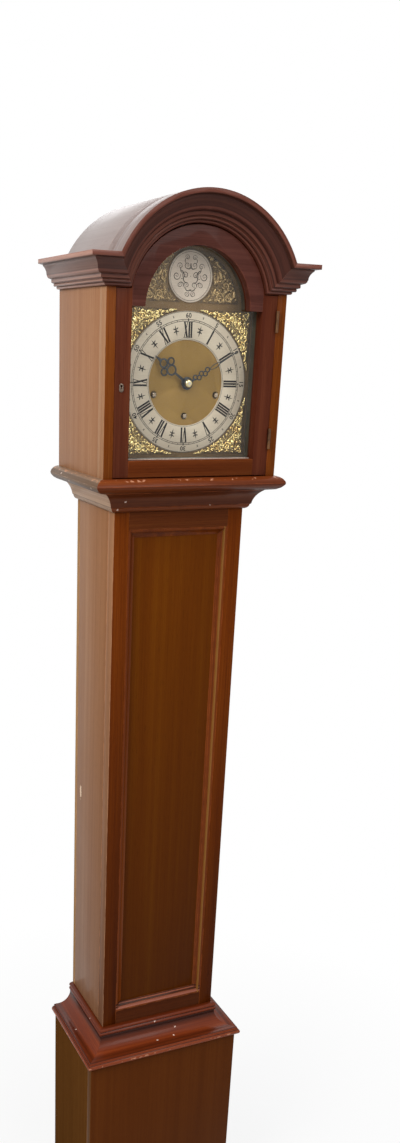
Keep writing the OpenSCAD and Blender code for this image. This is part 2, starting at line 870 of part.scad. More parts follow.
module back_plate()
    color(brass) slab(y_back_plate, y_back_out) difference() {
        plate_outline();
        winding_holes(arbor_r + run);
        translate([0, z_dial]) circle(r = arbor_r / 2 + run);
        translate([0, z_pivot]) circle(r = anchor_arbor_r + run);
    }

module plate_pillars()
    color(brass) both_sides() for (z = [z_seat + 8, z_plate_top - 8])
        rod_y(4, y_front_in, y_back_plate, pillar_x, z);

module movement_brackets()
    color(brass) {
        board(-9, 9, y_back_out, y_rod + 4, z_pivot + 5, z_pivot + 13);
        for (x = [hammer_x - 8, hammers_end + 6])
            board(x, x + 2, y_back_out, y_hammer + 4, z_hammer - 5, z_hammer + 5);
        translate([hammer_x - 8, y_hammer, z_hammer]) rotate([0, 90, 0])
            cylinder(r = 1.5, h = hammers_end - hammer_x + 16);
    }

module spring_barrels()
    color(brass) for (p = wind_at) difference() {
        union() {
            rod_y(barrel_r, y_front_in + 4, y_back_plate - 6, p[0], z_dial + p[1]);
            rod_y(wheel_r, y_back_plate - 8, y_back_plate - 6, p[0], z_dial + p[1]);
        }
        rod_y(arbor_r + run, y_front_in, y_back_plate, p[0], z_dial + p[1]);
    }

// Train wheels, each a disc on its own arbor between the plates: [x, height, disc radius, depth]
train = [[-34, 28, 15, 12], [34, 28, 15, 12], [-12, 20, 10, 30], [14, 17, 9, 30], [-46, 42, 8, 24],
    [46, 42, 8, 24]];

module train_wheels()
    color(brass) for (w = train) {
        rod_y(1, y_front_in, y_back_plate, w[0], z_dial + w[1]);
        rod_y(w[2], y_front_in + w[3], y_front_in + w[3] + 2, w[0], z_dial + w[1]);
    }

module winding_arbor(k) {
    p = wind_at[k];
    rod_y(arbor_r, y_front_plate - 6, y_back_out + 2, p[0], z_dial + p[1]);
    board(p[0] - square_af / 2, p[0] + square_af / 2, y_dial - 3, y_front_plate - 6,
        z_dial + p[1] - square_af / 2, z_dial + p[1] + square_af / 2);
}

module winding_arbor_left() color(steel) winding_arbor(0);
module winding_arbor_centre() color(steel) winding_arbor(1);
module winding_arbor_right() color(steel) winding_arbor(2);

// The centre arbor with its cannon pinion and the sleeve that carries the minute hand
module centre_arbor()
    color(steel) {
        rod_y(arbor_r / 2, y_minute_hand - 4, y_back_out + 2, 0, z_dial);
        rod_y(sleeve_r, y_minute_hand, y_cannon + 3, 0, z_dial);
        slab(y_cannon, y_cannon + 2.5) translate([0, z_dial])
            rotate(90 + 180 / cannon_teeth) toothed(cannon_teeth, gear_mod);
    }

module minute_wheel()
    color(brass) difference() {
        translate([0, 0, z_dial + motion_gap]) union() {
            slab(y_cannon, y_cannon + 2.5) rotate(90) toothed(minute_teeth, gear_mod);
            slab(y_cannon - 6, y_cannon) rotate(90 + 180 / pinion_teeth)
                toothed(pinion_teeth, pinion_mod);
        }
        rod_y(1.5 + run, y_hour_wheel - 3, y_front_plate, 0, z_dial + motion_gap);
    }

module hour_wheel()
    color(brass) difference() {
        union() {
            slab(y_hour_wheel, y_hour_wheel + 2.5) translate([0, z_dial])
                rotate(90) toothed(hour_teeth, pinion_mod);
            rod_y(pipe_r, y_hour_hand - 0.5, y_hour_wheel + 2.5, 0, z_dial);
        }
        rod_y(sleeve_r + run, y_minute_hand, y_front_plate, 0, z_dial);
    }

// ---- Pendulum, gong and hammers -------------------------------------------------------------

module pallet_anchor()
    color(steel) {
        rod_y(anchor_arbor_r, y_front_plate, y_back_out + 8, 0, z_pivot);
        slab(y_back_plate - 14, y_back_plate - 11) translate([0, z_pivot]) {
            circle(r = 3);
            polygon([[-10, -6], [0, 3], [10, -6], [7, -7], [0, -2], [-7, -7]]);
        }
        board(-2.5, 2.5, y_back_out + 5, y_back_out + 7, z_pivot - 45, z_pivot + 3);
        difference() {
            board(-4, 4, y_back_out + 5, y_rod + 4, z_pivot - 48, z_pivot - 45);
            translate([0, y_rod, z_pivot - 49]) cylinder(r = rod_r, h = 5);
        }
    }

module pendulum_rod()
    color(steel) {
        translate([0, y_rod, z_pivot - pendulum_l - bob_r - 12])
            cylinder(r = rod_r, h = pendulum_l + bob_r + 9);
        board(-3, 3, y_rod - 0.2, y_rod + 0.2, z_pivot - 4, z_pivot + 4.5);
        difference() {
            translate([0, y_rod, z_pivot - pendulum_l - bob_r - 6]) cylinder(r = 5, h = 5.7);
            translate([0, y_rod, z_pivot - pendulum_l - bob_r - 7])
                cylinder(r = rod_r + run, h = 8);
        }
    }

module pendulum_bob()
    color(brass) difference() {
        rod_y(bob_r, y_rod - bob_t / 2, y_rod + bob_t / 2, 0, z_pivot - pendulum_l);
        translate([0, y_rod, z_pivot - pendulum_l - bob_r - 1])
            cylinder(r = rod_r, h = 2 * bob_r + 2);
    }

module gong_set()
    color(steel) {
        z_block = z_cheek - gong_block_h;
        difference() {
            board(hammer_x - 8, hammers_end + 8, y_gong - 8, y_gong + 8, z_block, z_cheek);
            for (k = [0:hammers_n - 1])
                translate([hammer_x + k * hammer_pitch, y_gong, z_block - 1])
                    cylinder(r = gong_r + run, h = 9);
        }
        for (k = [0:hammers_n - 1])
            translate([hammer_x + k * hammer_pitch, y_gong, z_block - gong_l + k * 18])
                cylinder(r = gong_r, h = gong_l - k * 18 + 8 - fit);
    }

module hammer(x)
    difference() {
        union() {
            translate([x - 1.5, y_hammer, z_hammer]) rotate([0, 90, 0])
                cylinder(r = 3.2, h = 3);
            board(x - 0.8, x + 0.8, y_hammer - 2, y_hammer + 2,
                z_hammer - hammer_drop, z_hammer);
            rod_y(hammer_head_r, y_hammer - hammer_head_l / 2, y_hammer + hammer_head_l / 2,
                x, z_hammer - hammer_drop);
        }
        translate([x - 2, y_hammer, z_hammer]) rotate([0, 90, 0])
            cylinder(r = 1.5 + run, h = 4);
    }

module hammers()
    color(brass) for (k = [0:hammers_n - 1]) hammer(hammer_x + k * hammer_pitch);

plinth_front();
plinth_sides();
skirting();
bottom_board();
plinth_fillers();
base_moulding();
trunk_side_left();
trunk_side_right();
trunk_stiles();
trunk_rails();
trunk_panel();
panel_moulding();
backboard();
waist_moulding();
hood_side_left();
hood_side_right();
hood_posts();
hood_arch_board();
cornice_returns();
cornice_arch();
hood_roof();
rear_access_panel();
rear_panel_screws();
seat_board();
dial_mask();
fixed_hinge_leaves();
door_stiles();
door_bottom_rail();
door_arch_rail();
door_glass();
glazing_bead();
door_hinge_leaves();
lock_case();
lock_bolt();
escutcheon();
dial_plate();
chapter_ring();
corner_spandrels();
arch_spandrels();
dial_boss();
front_plate();
back_plate();
plate_pillars();
movement_brackets();
spring_barrels();
train_wheels();
winding_arbor_left();
winding_arbor_centre();
winding_arbor_right();
centre_arbor();
minute_hand();
hand_nut();
minute_wheel();
hour_wheel();
hour_hand();
pallet_anchor();
pendulum_rod();
pendulum_bob();
gong_set();
hammers();
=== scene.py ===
# %% [markdown]
# A small mahogany longcase clock with a break-arch hood. The imported model holds every board, wheel and
# hinge at its real size, so this script starts from it and gives each piece its finish.

# %% Load the clock's frame
import json
import math
import random
import bmesh
import bpy
from mathutils import Matrix, Vector


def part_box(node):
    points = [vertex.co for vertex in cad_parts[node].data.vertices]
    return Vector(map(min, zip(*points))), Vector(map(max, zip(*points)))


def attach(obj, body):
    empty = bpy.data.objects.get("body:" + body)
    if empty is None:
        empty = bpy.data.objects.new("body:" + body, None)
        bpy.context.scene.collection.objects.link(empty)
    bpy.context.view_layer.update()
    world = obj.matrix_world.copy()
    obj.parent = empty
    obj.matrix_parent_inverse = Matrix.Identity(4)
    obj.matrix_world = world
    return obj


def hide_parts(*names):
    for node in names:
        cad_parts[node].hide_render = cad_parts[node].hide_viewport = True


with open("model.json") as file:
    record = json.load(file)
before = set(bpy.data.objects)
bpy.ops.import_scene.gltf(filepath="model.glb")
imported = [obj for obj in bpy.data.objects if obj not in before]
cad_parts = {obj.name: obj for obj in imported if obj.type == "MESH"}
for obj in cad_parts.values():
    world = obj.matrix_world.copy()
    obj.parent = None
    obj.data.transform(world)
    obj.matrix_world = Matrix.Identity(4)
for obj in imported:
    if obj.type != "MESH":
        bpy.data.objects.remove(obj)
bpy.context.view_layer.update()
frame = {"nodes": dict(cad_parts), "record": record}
nodes = frame["nodes"]

def select_none():
    bpy.ops.object.select_all(action="DESELECT")

select_none()

# %% [markdown]
# The clock was seen by somebody standing at its front left, a little above the dial. A camera is placed
# by its position and three directions: where it looks, what it calls right and what it calls up. They
# follow from three angles, a turn, a look down and a tilt. The lens shift keeps upright edges upright.

# %% Camera
stand = (-0.6345, -1.3210, 1.3967)
turn, down, tilt = (math.radians(degrees) for degrees in (-24.13, 20.39, 1.765))
ahead = Vector((-math.sin(turn) * math.cos(down), math.cos(turn) * math.cos(down), -math.sin(down)))
level = Vector((math.cos(turn), math.sin(turn), 0.0))
upright = level.cross(ahead)
right = level * math.cos(tilt) + upright * math.sin(tilt)
up = upright * math.cos(tilt) - level * math.sin(tilt)

camera_data = bpy.data.cameras.new("viewpoint")
camera = bpy.data.objects.new("viewpoint", camera_data)
bpy.context.scene.collection.objects.link(camera)
camera_data.lens = 32.73
camera_data.sensor_width = 36.0
camera_data.shift_x = 0.0587
camera_data.shift_y = 0.1407
camera.matrix_world = Matrix((
    (right.x, up.x, -ahead.x, stand[0]),
    (right.y, up.y, -ahead.y, stand[1]),
    (right.z, up.z, -ahead.z, stand[2]),
    (0.0, 0.0, 0.0, 1.0)))
bpy.context.scene.camera = camera
bpy.context.scene.view_settings.view_transform = "Standard"
print("camera looks along", [round(v, 3) for v in ahead])

# %% [markdown]
# Materials, and the world round the clock, are networks of nodes. These helpers keep the network code
# short. `add` makes a node and fills its sockets, each with a value or with a link from another node. A
# colour of three numbers is named as a painter would, from 0 to 255, and `tone` turns it into the linear
# values that light works in.

# %% Colours and nodes
def tone(colour):
    return tuple((c / 255.0 / 12.92) if c <= 10 else ((c / 255.0 + 0.055) / 1.055) ** 2.4
                 for c in colour) + (1.0,)

def grey(value):
    return (value, value, value, 1.0)

WHITE = grey(1.0)

class Network:
    """A tree of nodes under construction."""
    def __init__(self, tree):
        self.tree = tree

    def feed(self, socket, value):
        if isinstance(value, bpy.types.NodeSocket):
            self.tree.links.new(value, socket)
        elif socket.type == "RGBA" and len(value) == 3:
            socket.default_value = tone(value)
        else:
            socket.default_value = value

    def fill(self, sockets, *values):
        for socket, value in zip(sockets, values):
            if value is not None:
                self.feed(socket, value)

    def add(self, kind, **values):
        """Names in small letters are the node's settings, names with a capital are its sockets."""
        item = self.tree.nodes.new("ShaderNode" + kind)
        for name, value in values.items():
            if name.islower():
                setattr(item, name, value)
            else:
                self.feed(item.inputs[name.replace("_", " ")], value)
        return item

print("white is", WHITE)

# %% [markdown]
# Every pattern on the clock comes from the same few nodes: arithmetic, noise, a change of range, a row of
# colours and a blend of two. A network that knows them by short names reads like a recipe.

# %% Pattern nodes
class Patterns(Network):
    """A network with the nodes that patterns are made of."""
    def sum(self, operation, first, second=None):
        item = self.add("Math", operation=operation)
        self.fill(item.inputs, first, second)
        return item.outputs[0]

    def plus(self, first, second):
        return self.sum("ADD", first, second)

    def times(self, first, second):
        return self.sum("MULTIPLY", first, second)

    def over(self, first, second):
        return self.sum("GREATER_THAN", first, second)

    def under(self, first, second):
        return self.sum("LESS_THAN", first, second)

    def noise(self, vector, scale, detail=3.0, rough=0.5, warp=0.0):
        return self.add("TexNoise", Vector=vector, Scale=scale, Detail=detail, Roughness=rough,
                        Distortion=warp).outputs["Fac"]

    def span(self, value, start, end, low=0.0, high=1.0):
        return self.add("MapRange", Value=value, From_Min=start, From_Max=end, To_Min=low,
                        To_Max=high).outputs["Result"]

    def ramp(self, value, stops):
        item = self.add("ValToRGB", Fac=value)
        band = item.color_ramp
        while len(band.elements) < len(stops):
            band.elements.new(0.5)
        for element, (at, colour) in zip(band.elements, stops):
            element.position = at
            element.color = tone(colour) if len(colour) == 3 else colour
        return item.outputs["Color"]

    def blend(self, amount, first, second, way="MIX"):
        item = self.add("Mix", data_type="RGBA", blend_type=way)
        self.fill([item.inputs["Factor"]] + [s for s in item.inputs if s.type == "RGBA"],
                  amount, first, second)
        return [s for s in item.outputs if s.type == "RGBA"][0]

    def mix_shaders(self, share, first, second):
        item = self.add("MixShader")
        self.fill(item.inputs, share, first.outputs[0], second.outputs[0])
        return item.outputs[0]

    def stretch(self, vector, scale, shift=(0.0, 0.0, 0.0)):
        return self.add("Mapping", Vector=vector, Scale=scale, Location=shift).outputs["Vector"]

    def length(self, vector):
        return self.add("VectorMath", operation="LENGTH", Vector=vector).outputs["Value"]

    def seen_directly(self):
        """One where the eye, a reflection or the glass looks, zero where only light travels."""
        rays = self.add("LightPath").outputs
        seen = self.sum("MAXIMUM", rays["Is Camera Ray"], rays["Is Glossy Ray"])
        return self.sum("MAXIMUM", seen, rays["Is Transmission Ray"])

print("pattern nodes ready")

# %% [markdown]
# A finish is what the maker puts on last: polish, lacquer, wax or paint. Here it is one glossy shader
# and the pattern that feeds it. The pattern is laid out in the piece's own coordinates, so that it stays
# in place when a door or a hand moves. Every finish is kept under its name, so that it can be found again.

# %% Finishes
finishes = {}

class Finish(Patterns):
    """A material: its node tree, its one shader and the place of each point on the object."""
    def __init__(self, name):
        self.material = finishes[name] = bpy.data.materials.new(name)
        self.material.use_nodes = True
        super().__init__(self.material.node_tree)
        self.shader = self.tree.nodes["Principled BSDF"]
        self.place = self.add("TexCoord").outputs["Object"]

    def set(self, **values):
        for name, value in values.items():
            self.feed(self.shader.inputs[name.replace("_", " ")], value)

    def bump(self, height, strength, depth):
        item = self.add("Bump", Height=height, Strength=strength, Distance=depth)
        self.set(Normal=item.outputs["Normal"])

    def roughen(self, pattern, share, base):
        self.set(Roughness=self.plus(self.times(pattern, share), base))

    def parts(self):
        item = self.add("SeparateXYZ", Vector=self.place)
        return item.outputs["X"], item.outputs["Y"], item.outputs["Z"]

    def joined(self, x, y, z):
        return self.add("CombineXYZ", X=x, Y=y, Z=z).outputs[0]

    def show(self, surface):
        self.feed(self.tree.nodes["Material Output"].inputs[0], surface)

print("finishes so far", len(finishes))

# %% [markdown]
# Polished wood shows what stands round it, so the room is as important as the lamps. The world is white
# where the eye, a reflection or the glass sees it. Where it only lights the clock it is a softer grey,
# darker towards the floor than overhead. A large soft lamp stands at the left, as a window would, a
# weaker one fills the front and a third one the back. The floor keeps the clock's shadow at its foot.

# %% Room and lamps
def lamp(name, place, aim, size, watts, tint):
    data = bpy.data.lights.new(name, "AREA")
    data.size = size
    data.energy = watts
    data.color = tint
    item = bpy.data.objects.new(name, data)
    bpy.context.scene.collection.objects.link(item)
    item.location = place
    item.rotation_euler = (Vector(aim) - Vector(place)).to_track_quat("-Z", "Y").to_euler()

lamp("window", (-2.2, -1.0, 2.7), (0.0, 0.0, 1.05), 1.2, 60, (1.0, 0.97, 0.93))
lamp("fill", (0.7, -2.3, 2.9), (0.0, 0.0, 1.0), 1.7, 33, (1.0, 0.98, 0.96))
lamp("back_fill", (1.2, 2.4, 2.2), (0.0, 0.0, 1.0), 1.5, 14, (0.97, 0.98, 1.0))

world = bpy.data.worlds.new("room")
bpy.context.scene.world = world
world.use_nodes = True
room = Patterns(world.node_tree)
room.tree.nodes.clear()
way = room.add("SeparateXYZ", Vector=room.add("TexCoord").outputs["Generated"])
dim = room.add("Background", Color=(0.88, 0.90, 0.94, 1.0),
               Strength=room.span(way.outputs["Z"], -0.1, 0.9, 0.26, 0.85))
white = room.add("Background", Color=WHITE, Strength=1.0)
room.add("OutputWorld", Surface=room.mix_shaders(room.seen_directly(), dim, white))

FLOOR_SIZE, FLOOR_DROP = 14.0, 0.0005
bpy.ops.mesh.primitive_plane_add(size=FLOOR_SIZE, location=(0.0, 0.0, -FLOOR_DROP))
floor = bpy.context.active_object
floor.name = "floor"
ground = Finish("pale_floor")
ground.set(Base_Color=(0.66, 0.66, 0.65, 1.0), Roughness=0.9)
glow = ground.add("Emission", Strength=1.0)
away_from_clock = ground.span(ground.length(ground.place), 0.25, 0.9, 0.84, 1.0)
ground.show(ground.mix_shaders(ground.times(ground.seen_directly(), away_from_clock), ground.shader, glow))
floor.data.materials.append(ground.material)
select_none()
print("room ready")

# %% [markdown]
# Mahogany is red-brown, with long streaks, a soft ribbon of light and dark that runs with the grain, and
# short dark pores. Each board's grain runs along its length, so every wood finish first turns the
# object's own coordinates until the third one runs with the grain: upright for stiles and panels, across
# for rails, back for side mouldings, and round the arch for the curved ones. The streaks are noise
# stretched along that direction.

# %% Grain directions
ARCH_EXTRA = 0.0125      # the arch's radius is this much more than half its width
CORNICE_TALL = 0.0355    # height of the cornice's profile
ARCH_BEND = 0.115        # the arch's mean radius, which turns an angle into a length
arch_low, arch_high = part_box("cornice_arch")
arch_centre = arch_high[2] - (arch_high[0] - arch_low[0]) / 2 - ARCH_EXTRA

def from_arch_centre(wood):
    x, y, z = wood.parts()
    rise = wood.sum("SUBTRACT", z, arch_centre)
    return wood.sum("SQRT", wood.plus(wood.times(x, x), wood.times(rise, rise)))

def on_side(wood, node):
    """One on the left and right lengths of a moulding that goes round the case, zero on its front."""
    low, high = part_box(node)
    x, y, z = wood.parts()
    return wood.over(wood.plus(wood.sum("ABSOLUTE", x), y), high[0] + low[1])

def grain_space(wood, run, node):
    x, y, z = wood.parts()
    if run == "up":
        return wood.joined(x, y, z)
    if run == "across":
        return wood.joined(z, y, x)
    if run == "back":
        return wood.joined(x, z, y)
    if run == "arch":
        angle = wood.sum("ARCTAN2", x, wood.sum("SUBTRACT", z, arch_centre))
        return wood.joined(from_arch_centre(wood), y, wood.times(angle, ARCH_BEND))
    return wood.blend(on_side(wood, node), wood.joined(z, y, x), wood.joined(z, x, y))

def up_profile(wood, run, node):
    """The height of each point above the foot of its moulding's profile."""
    if run == "arch":
        return wood.sum("SUBTRACT", from_arch_centre(wood), arch_high[2] - arch_centre - CORNICE_TALL)
    return wood.sum("SUBTRACT", wood.parts()[2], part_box(node)[0][2])

print("arch centre at", round(arch_centre, 4))

# %% [markdown]
# Age and painted light are laid over the plain wood in layers. Dirt and painted shade darken a moulding's
# hollows and the undersides of its noses, so they follow the height on the profile. Faces that look to the
# side get lighter shades of their own, which is painted light. Corners are rubbed pale, chips show raw
# wood, and one fillet of a moulding has a broken pale line, partly wear and partly a painted highlight.

# %% Layers of age and painted light
CHIP_CELLS = 60.0        # cells for each metre, one chip at most in each
# How far inside its board a point may lie and still count as on its face, its top or its side.
FACE_SKIN, TOP_SKIN, SIDE_SKIN = 0.0009, 0.0012, 0.0005

# Darkens a moulding by the height on its profile: dirt in the hollows, and painted shade in the coves and
# under the noses.
def dirty(wood, shade, run, node, heights):
    total = CORNICE_TALL if run == "arch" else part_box(node)[1][2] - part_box(node)[0][2]
    kept = wood.ramp(wood.times(up_profile(wood, run, node), 1.0 / total),
                     [(h / 1000.0 / total, grey(k)) for h, k in heights])
    return wood.blend(1.0, shade, kept, "MULTIPLY")

def side_faces(wood, run, node):
    low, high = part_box(node)
    if run == "round":
        return on_side(wood, node)
    if run == "arch":
        return wood.times(wood.over(up_profile(wood, run, node), CORNICE_TALL - TOP_SKIN),
                          wood.over(wood.parts()[1], low[1] + FACE_SKIN))
    if node == "hood_arch_board":
        return wood.over(from_arch_centre(wood), high[2] - arch_centre - FACE_SKIN)
    return wood.over(wood.sum("ABSOLUTE", wood.parts()[0]), high[0] - SIDE_SKIN)

def between(wood, place, start, end):
    return wood.times(wood.over(place, start), wood.under(place, end))

def chipped(wood, colour, amount):
    cells = wood.add("TexVoronoi", Vector=wood.place, Scale=CHIP_CELLS)
    ragged = wood.plus(cells.outputs["Distance"], wood.times(wood.noise(wood.place, 620.0), 0.22))
    chosen = wood.under(wood.noise(cells.outputs["Position"], 31.0, 0.0), 0.30 + 0.16 * amount)
    bare = wood.times(wood.times(wood.under(ragged, 0.185), chosen), 0.85)
    return wood.blend(bare, colour, (222, 196, 180))

# A broken pale line along one fillet: partly wear, partly a painted highlight.
def worn_line(wood, colour, place, above, below, share):
    broken = wood.over(wood.noise(wood.place, 190.0, 3.0), 0.60)
    amount = wood.times(wood.times(between(wood, place, below, above), broken), share)
    return wood.blend(amount, colour, (206, 150, 118))

def knocked(wood, colour, centre, size):
    """One pale ragged mark, where something has knocked against the board."""
    near = wood.stretch(wood.place, tuple(1.0 / d for d in size),
                        shift=tuple(-c / d for c, d in zip(centre, size)))
    ragged = wood.plus(wood.length(near), wood.times(wood.noise(wood.place, 260.0, 4.0), 1.6))
    return wood.blend(wood.under(ragged, 1.35), colour, (214, 186, 156))

print("layers defined")

# %% [markdown]
# The wood finish puts it together: grain, dirt and painted shade in the hollows, painted light on the side
# faces, strips of painted light and shade, pores, painted shade towards the floor, rubbed corners, chips
# and wear with a painted highlight line, and a thin coat over it for the old polish. A corner is known by a
# mark that the bevel leaves on its new faces.

# %% Wood finish
FIGURE, RIBBON, STREAK = (9.0, 9.0, 0.9), (110.0, 110.0, 1.1), (520.0, 520.0, 5.0)
PORE = (1700.0, 1700.0, 60.0)    # like the others, cells for each metre: twice across, once along

def rubbed_shade(colour, gains, lift):
    return tuple(min(1.0, c * k + lift) for c, k in zip(tone(colour), gains)) + (1.0,)

def mahogany(name, shades, run="up", node=None, polish=0.36, coat=0.08, sheen=0.06, gleam=0.1, seed=0.0,
             calm=0.12, chips=0.0, fade=None, mark=None, flank=None, trims=(), hollows=None,
             side_hollows=None, worn=None):
    wood = Finish(name)
    space = wood.stretch(grain_space(wood, run, node), (1.0, 1.0, 1.0), (seed, seed * 0.7, seed * 1.3))
    figure = wood.noise(wood.stretch(space, FIGURE), 1.0, 3.0, 0.5, 0.4)
    ribbon = wood.noise(wood.stretch(space, RIBBON), 1.0, 3.0, 0.55, 0.15)
    streak = wood.noise(wood.stretch(space, STREAK), 1.0, 4.0, 0.6)
    pore = wood.noise(wood.stretch(space, PORE), 1.0, 2.0, 0.5)
    mixed = wood.plus(wood.times(figure, 0.34), wood.times(ribbon, 0.36))
    mixed = wood.plus(mixed, wood.times(streak, 0.30))
    stops = (0.5 - calm, 0.5, 0.5 + calm)
    colour = wood.ramp(mixed, list(zip(stops, shades)))
    lit = rubbed_shade(shades[2], (1.9, 1.6, 1.3), 0.012)
    # Dirt and painted shade in the moulding's hollows.
    if hollows is not None:
        colour = dirty(wood, colour, run, node, hollows)
    if flank is not None:
        # Side faces take their own lighter shades: painted light.
        faded = wood.ramp(mixed, list(zip(stops, flank)))
        reach = side_faces(wood, run, node)
        if side_hollows is not None:
            faded = dirty(wood, faded, run, node, side_hollows)
        colour = wood.blend(reach, colour, faded)
        lit = wood.blend(reach, lit, rubbed_shade(flank[2], (1.3, 1.3, 1.3), 0.0))
    # Strips of painted shade, painted highlight and painted reflection.
    for axis, start, end, shade in trims:
        colour = wood.blend(between(wood, wood.parts()[axis], start, end), colour, shade)
    pores = wood.ramp(pore, [(0.30, (0.5, 0.45, 0.42, 1.0)), (0.42, WHITE)])
    colour = wood.blend(0.5, colour, pores, "MULTIPLY")
    # Darker towards the floor: painted shade, where less light reaches.
    if fade is not None:
        axis, start, end, pale = fade
        colour = wood.blend(wood.span(wood.parts()[axis], start, end), colour, pale, "MULTIPLY")
    arris = wood.add("Attribute", attribute_name="arris").outputs["Fac"]
    patchy = wood.ramp(wood.noise(wood.place, 60.0, 3.0), [(0.40, grey(0.1)), (0.62, WHITE)])
    rubbed = wood.blend(1.0, arris, patchy, "MULTIPLY")
    colour = wood.blend(wood.times(rubbed, 0.5), colour, lit)
    if chips:
        colour = chipped(wood, colour, chips)
    # A broken pale line of wear and painted highlight.
    if worn is not None:
        colour = worn_line(wood, colour, up_profile(wood, run, node), *worn)
    if mark is not None:
        colour = knocked(wood, colour, *mark)
    cloudy = wood.plus(wood.times(wood.noise(wood.place, 9.0, 4.0), 0.16), polish)
    wood.set(Base_Color=colour, Roughness=wood.plus(cloudy, wood.times(pore, 0.06)),
             Specular_IOR_Level=sheen, Coat_Weight=coat, Coat_Roughness=gleam)
    wood.bump(wood.plus(pore, wood.times(streak, 0.5)), 0.12, 0.0002)
    return wood.material

print("wood finish defined")

# %% [markdown]
# A board that left the plane is never knife-sharp: its corners, the arrises, are rubbed round and catch
# the light. The model's boards have perfect corners, so each visible one is copied, its loose triangles
# are joined up, flat areas are merged to single faces, and a small bevel is run along every corner. The
# bevel's new faces are remembered in an attribute, and the wood finish reads it.

# %% Board helper
ROUND = 0.0006           # width of the bevel, half a millimetre or so
WELD = 0.00001           # corners nearer than this are the same corner
# Faces are merged below the first angle between them, bevelled from the second, shaded round up to the third.
FLAT_BELOW, SHARP_FROM, ROUND_TO = (math.radians(degrees) for degrees in (0.3, 28.0, 40.0))
record = frame["record"]
body_of = {n: b for b, names in record["behaviour"]["bodies"].items() for n in names}

def activate(piece):
    select_none()
    piece.select_set(True)
    bpy.context.view_layer.objects.active = piece

def dress(piece, material, body):
    piece.data.materials.clear()
    piece.data.materials.append(material)
    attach(piece, body)

def finished(node, material, rounding=ROUND, segments=2):
    piece = bpy.data.objects.new(node + "_finished", nodes[node].data.copy())
    bpy.context.scene.collection.objects.link(piece)
    piece.data.materials.clear()
    for _ in range(2):
        piece.data.materials.append(material)
    activate(piece)
    bpy.ops.object.mode_set(mode="EDIT")
    bpy.ops.mesh.select_all(action="SELECT")
    bpy.ops.mesh.remove_doubles(threshold=WELD)
    bpy.ops.mesh.dissolve_limited(angle_limit=FLAT_BELOW)
    bpy.ops.object.mode_set(mode="OBJECT")
    bevel = piece.modifiers.new("arris", "BEVEL")
    bevel.width = rounding
    bevel.segments = segments
    bevel.limit_method = "ANGLE"
    bevel.angle_limit = SHARP_FROM
    bevel.material = 1
    bpy.ops.object.modifier_apply(modifier=bevel.name)
    arris = [float(face.material_index) for face in piece.data.polygons]
    piece.data.attributes.new("arris", "FLOAT", "FACE").data.foreach_set("value", arris)
    piece.data.polygons.foreach_set("material_index", [0] * len(arris))
    bpy.ops.object.shade_smooth_by_angle(angle=ROUND_TO)
    dress(piece, material, body_of[node])
    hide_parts(node)
    return piece

print("board helper ready")

# %% [markdown]
# The side faces get lighter, salmon-brown shades than the fronts: that is painted light on the sides. The
# front is a deeper red, the trunk panel is the brownest and the mouldings are redder with pale rubbed
# edges. The roof's pale grey is a painted reflection. Every finish has three shades, for the dark streaks,
# the middle and the light ones.

# %% Shades of wood
FRONT = ((83, 33, 4), (100, 44, 5), (116, 56, 11))
RAIL = ((72, 32, 10), (88, 42, 16), (100, 54, 22))
# SIDE and the shades whose names end in _SIDE are lighter than the fronts: painted light on the side faces.
SIDE = ((123, 78, 47), (138, 94, 60), (151, 110, 77))
PANEL = ((82, 36, 2), (93, 45, 3), (102, 55, 5))
MOULD = ((111, 50, 19), (130, 61, 27), (150, 78, 38))
BASE = ((99, 39, 14), (122, 50, 19), (143, 66, 28))
PLINTH = ((70, 32, 5), (81, 39, 8), (90, 47, 12))
PLINTH_SIDE = ((72, 43, 17), (86, 53, 22), (98, 63, 29))
HOOD_SIDE = ((132, 89, 57), (152, 108, 76), (167, 127, 95))
HOOD_FRONT = ((71, 30, 17), (82, 38, 23), (96, 49, 30))
POST = ((84, 38, 8), (105, 51, 13), (120, 65, 22))
DOOR_RAIL = ((74, 31, 9), (90, 41, 13), (104, 52, 21))
DOOR_ARCH = ((66, 32, 24), (80, 42, 34), (96, 54, 44))
CORNICE = ((85, 44, 33), (103, 57, 45), (123, 72, 55))
# The roof's pale grey-lilac is a painted reflection of the bright room on its polish; it also colours the
# tops of the arch board and the cornice arch.
ROOF = ((122, 105, 101), (137, 123, 119), (152, 139, 135))
# WAIST_SIDE and CORNICE_SIDE are painted light on the side lengths of those mouldings.
WAIST_SIDE = ((157, 121, 95), (177, 143, 115), (197, 165, 139))
CORNICE_SIDE = ((141, 98, 83), (164, 122, 107), (186, 145, 128))
SOFTWOOD = ((120, 88, 56), (150, 114, 76), (172, 136, 96))
print("shades mixed")

# %% [markdown]
# The dirt and painted shade of each moulding is a list of pairs: a height above the foot of its profile, in
# millimetres, and how much of the wood's colour is left there. Low numbers are the dark hollows, quirks and
# undersides, partly dirt and partly painted shade.

# %% Dirt and painted shade on the mouldings
CORNICE_DIRT = [(0, 0.5), (1, 0.9), (3.2, 0.75), (3.8, 0.2), (4.6, 0.75), (6.8, 0.65), (7.8, 0.2),
                (8.6, 0.7), (11.4, 0.7), (12.2, 0.25), (13.4, 0.6), (16, 0.8), (17.4, 0.3), (19, 0.38),
                (27, 0.5), (28.6, 0.4), (29.6, 0.25), (30.6, 0.7), (32, 1.0), (35.5, 1.0)]
WAIST_DIRT = [(0, 0.35), (2, 0.5), (6, 0.5), (7.6, 0.25), (9, 0.32), (20, 0.36), (27, 0.28), (30, 0.3),
              (33, 0.5), (38, 0.5), (43, 0.62), (47, 0.75)]
WAIST_SIDE_DIRT = [(0, 0.6), (6, 0.65), (7.6, 0.4), (9, 0.85), (24, 1.0), (27, 0.5), (30, 0.25),
                   (33, 0.3), (38, 0.36), (43, 0.3), (45, 0.55), (47, 0.6)]
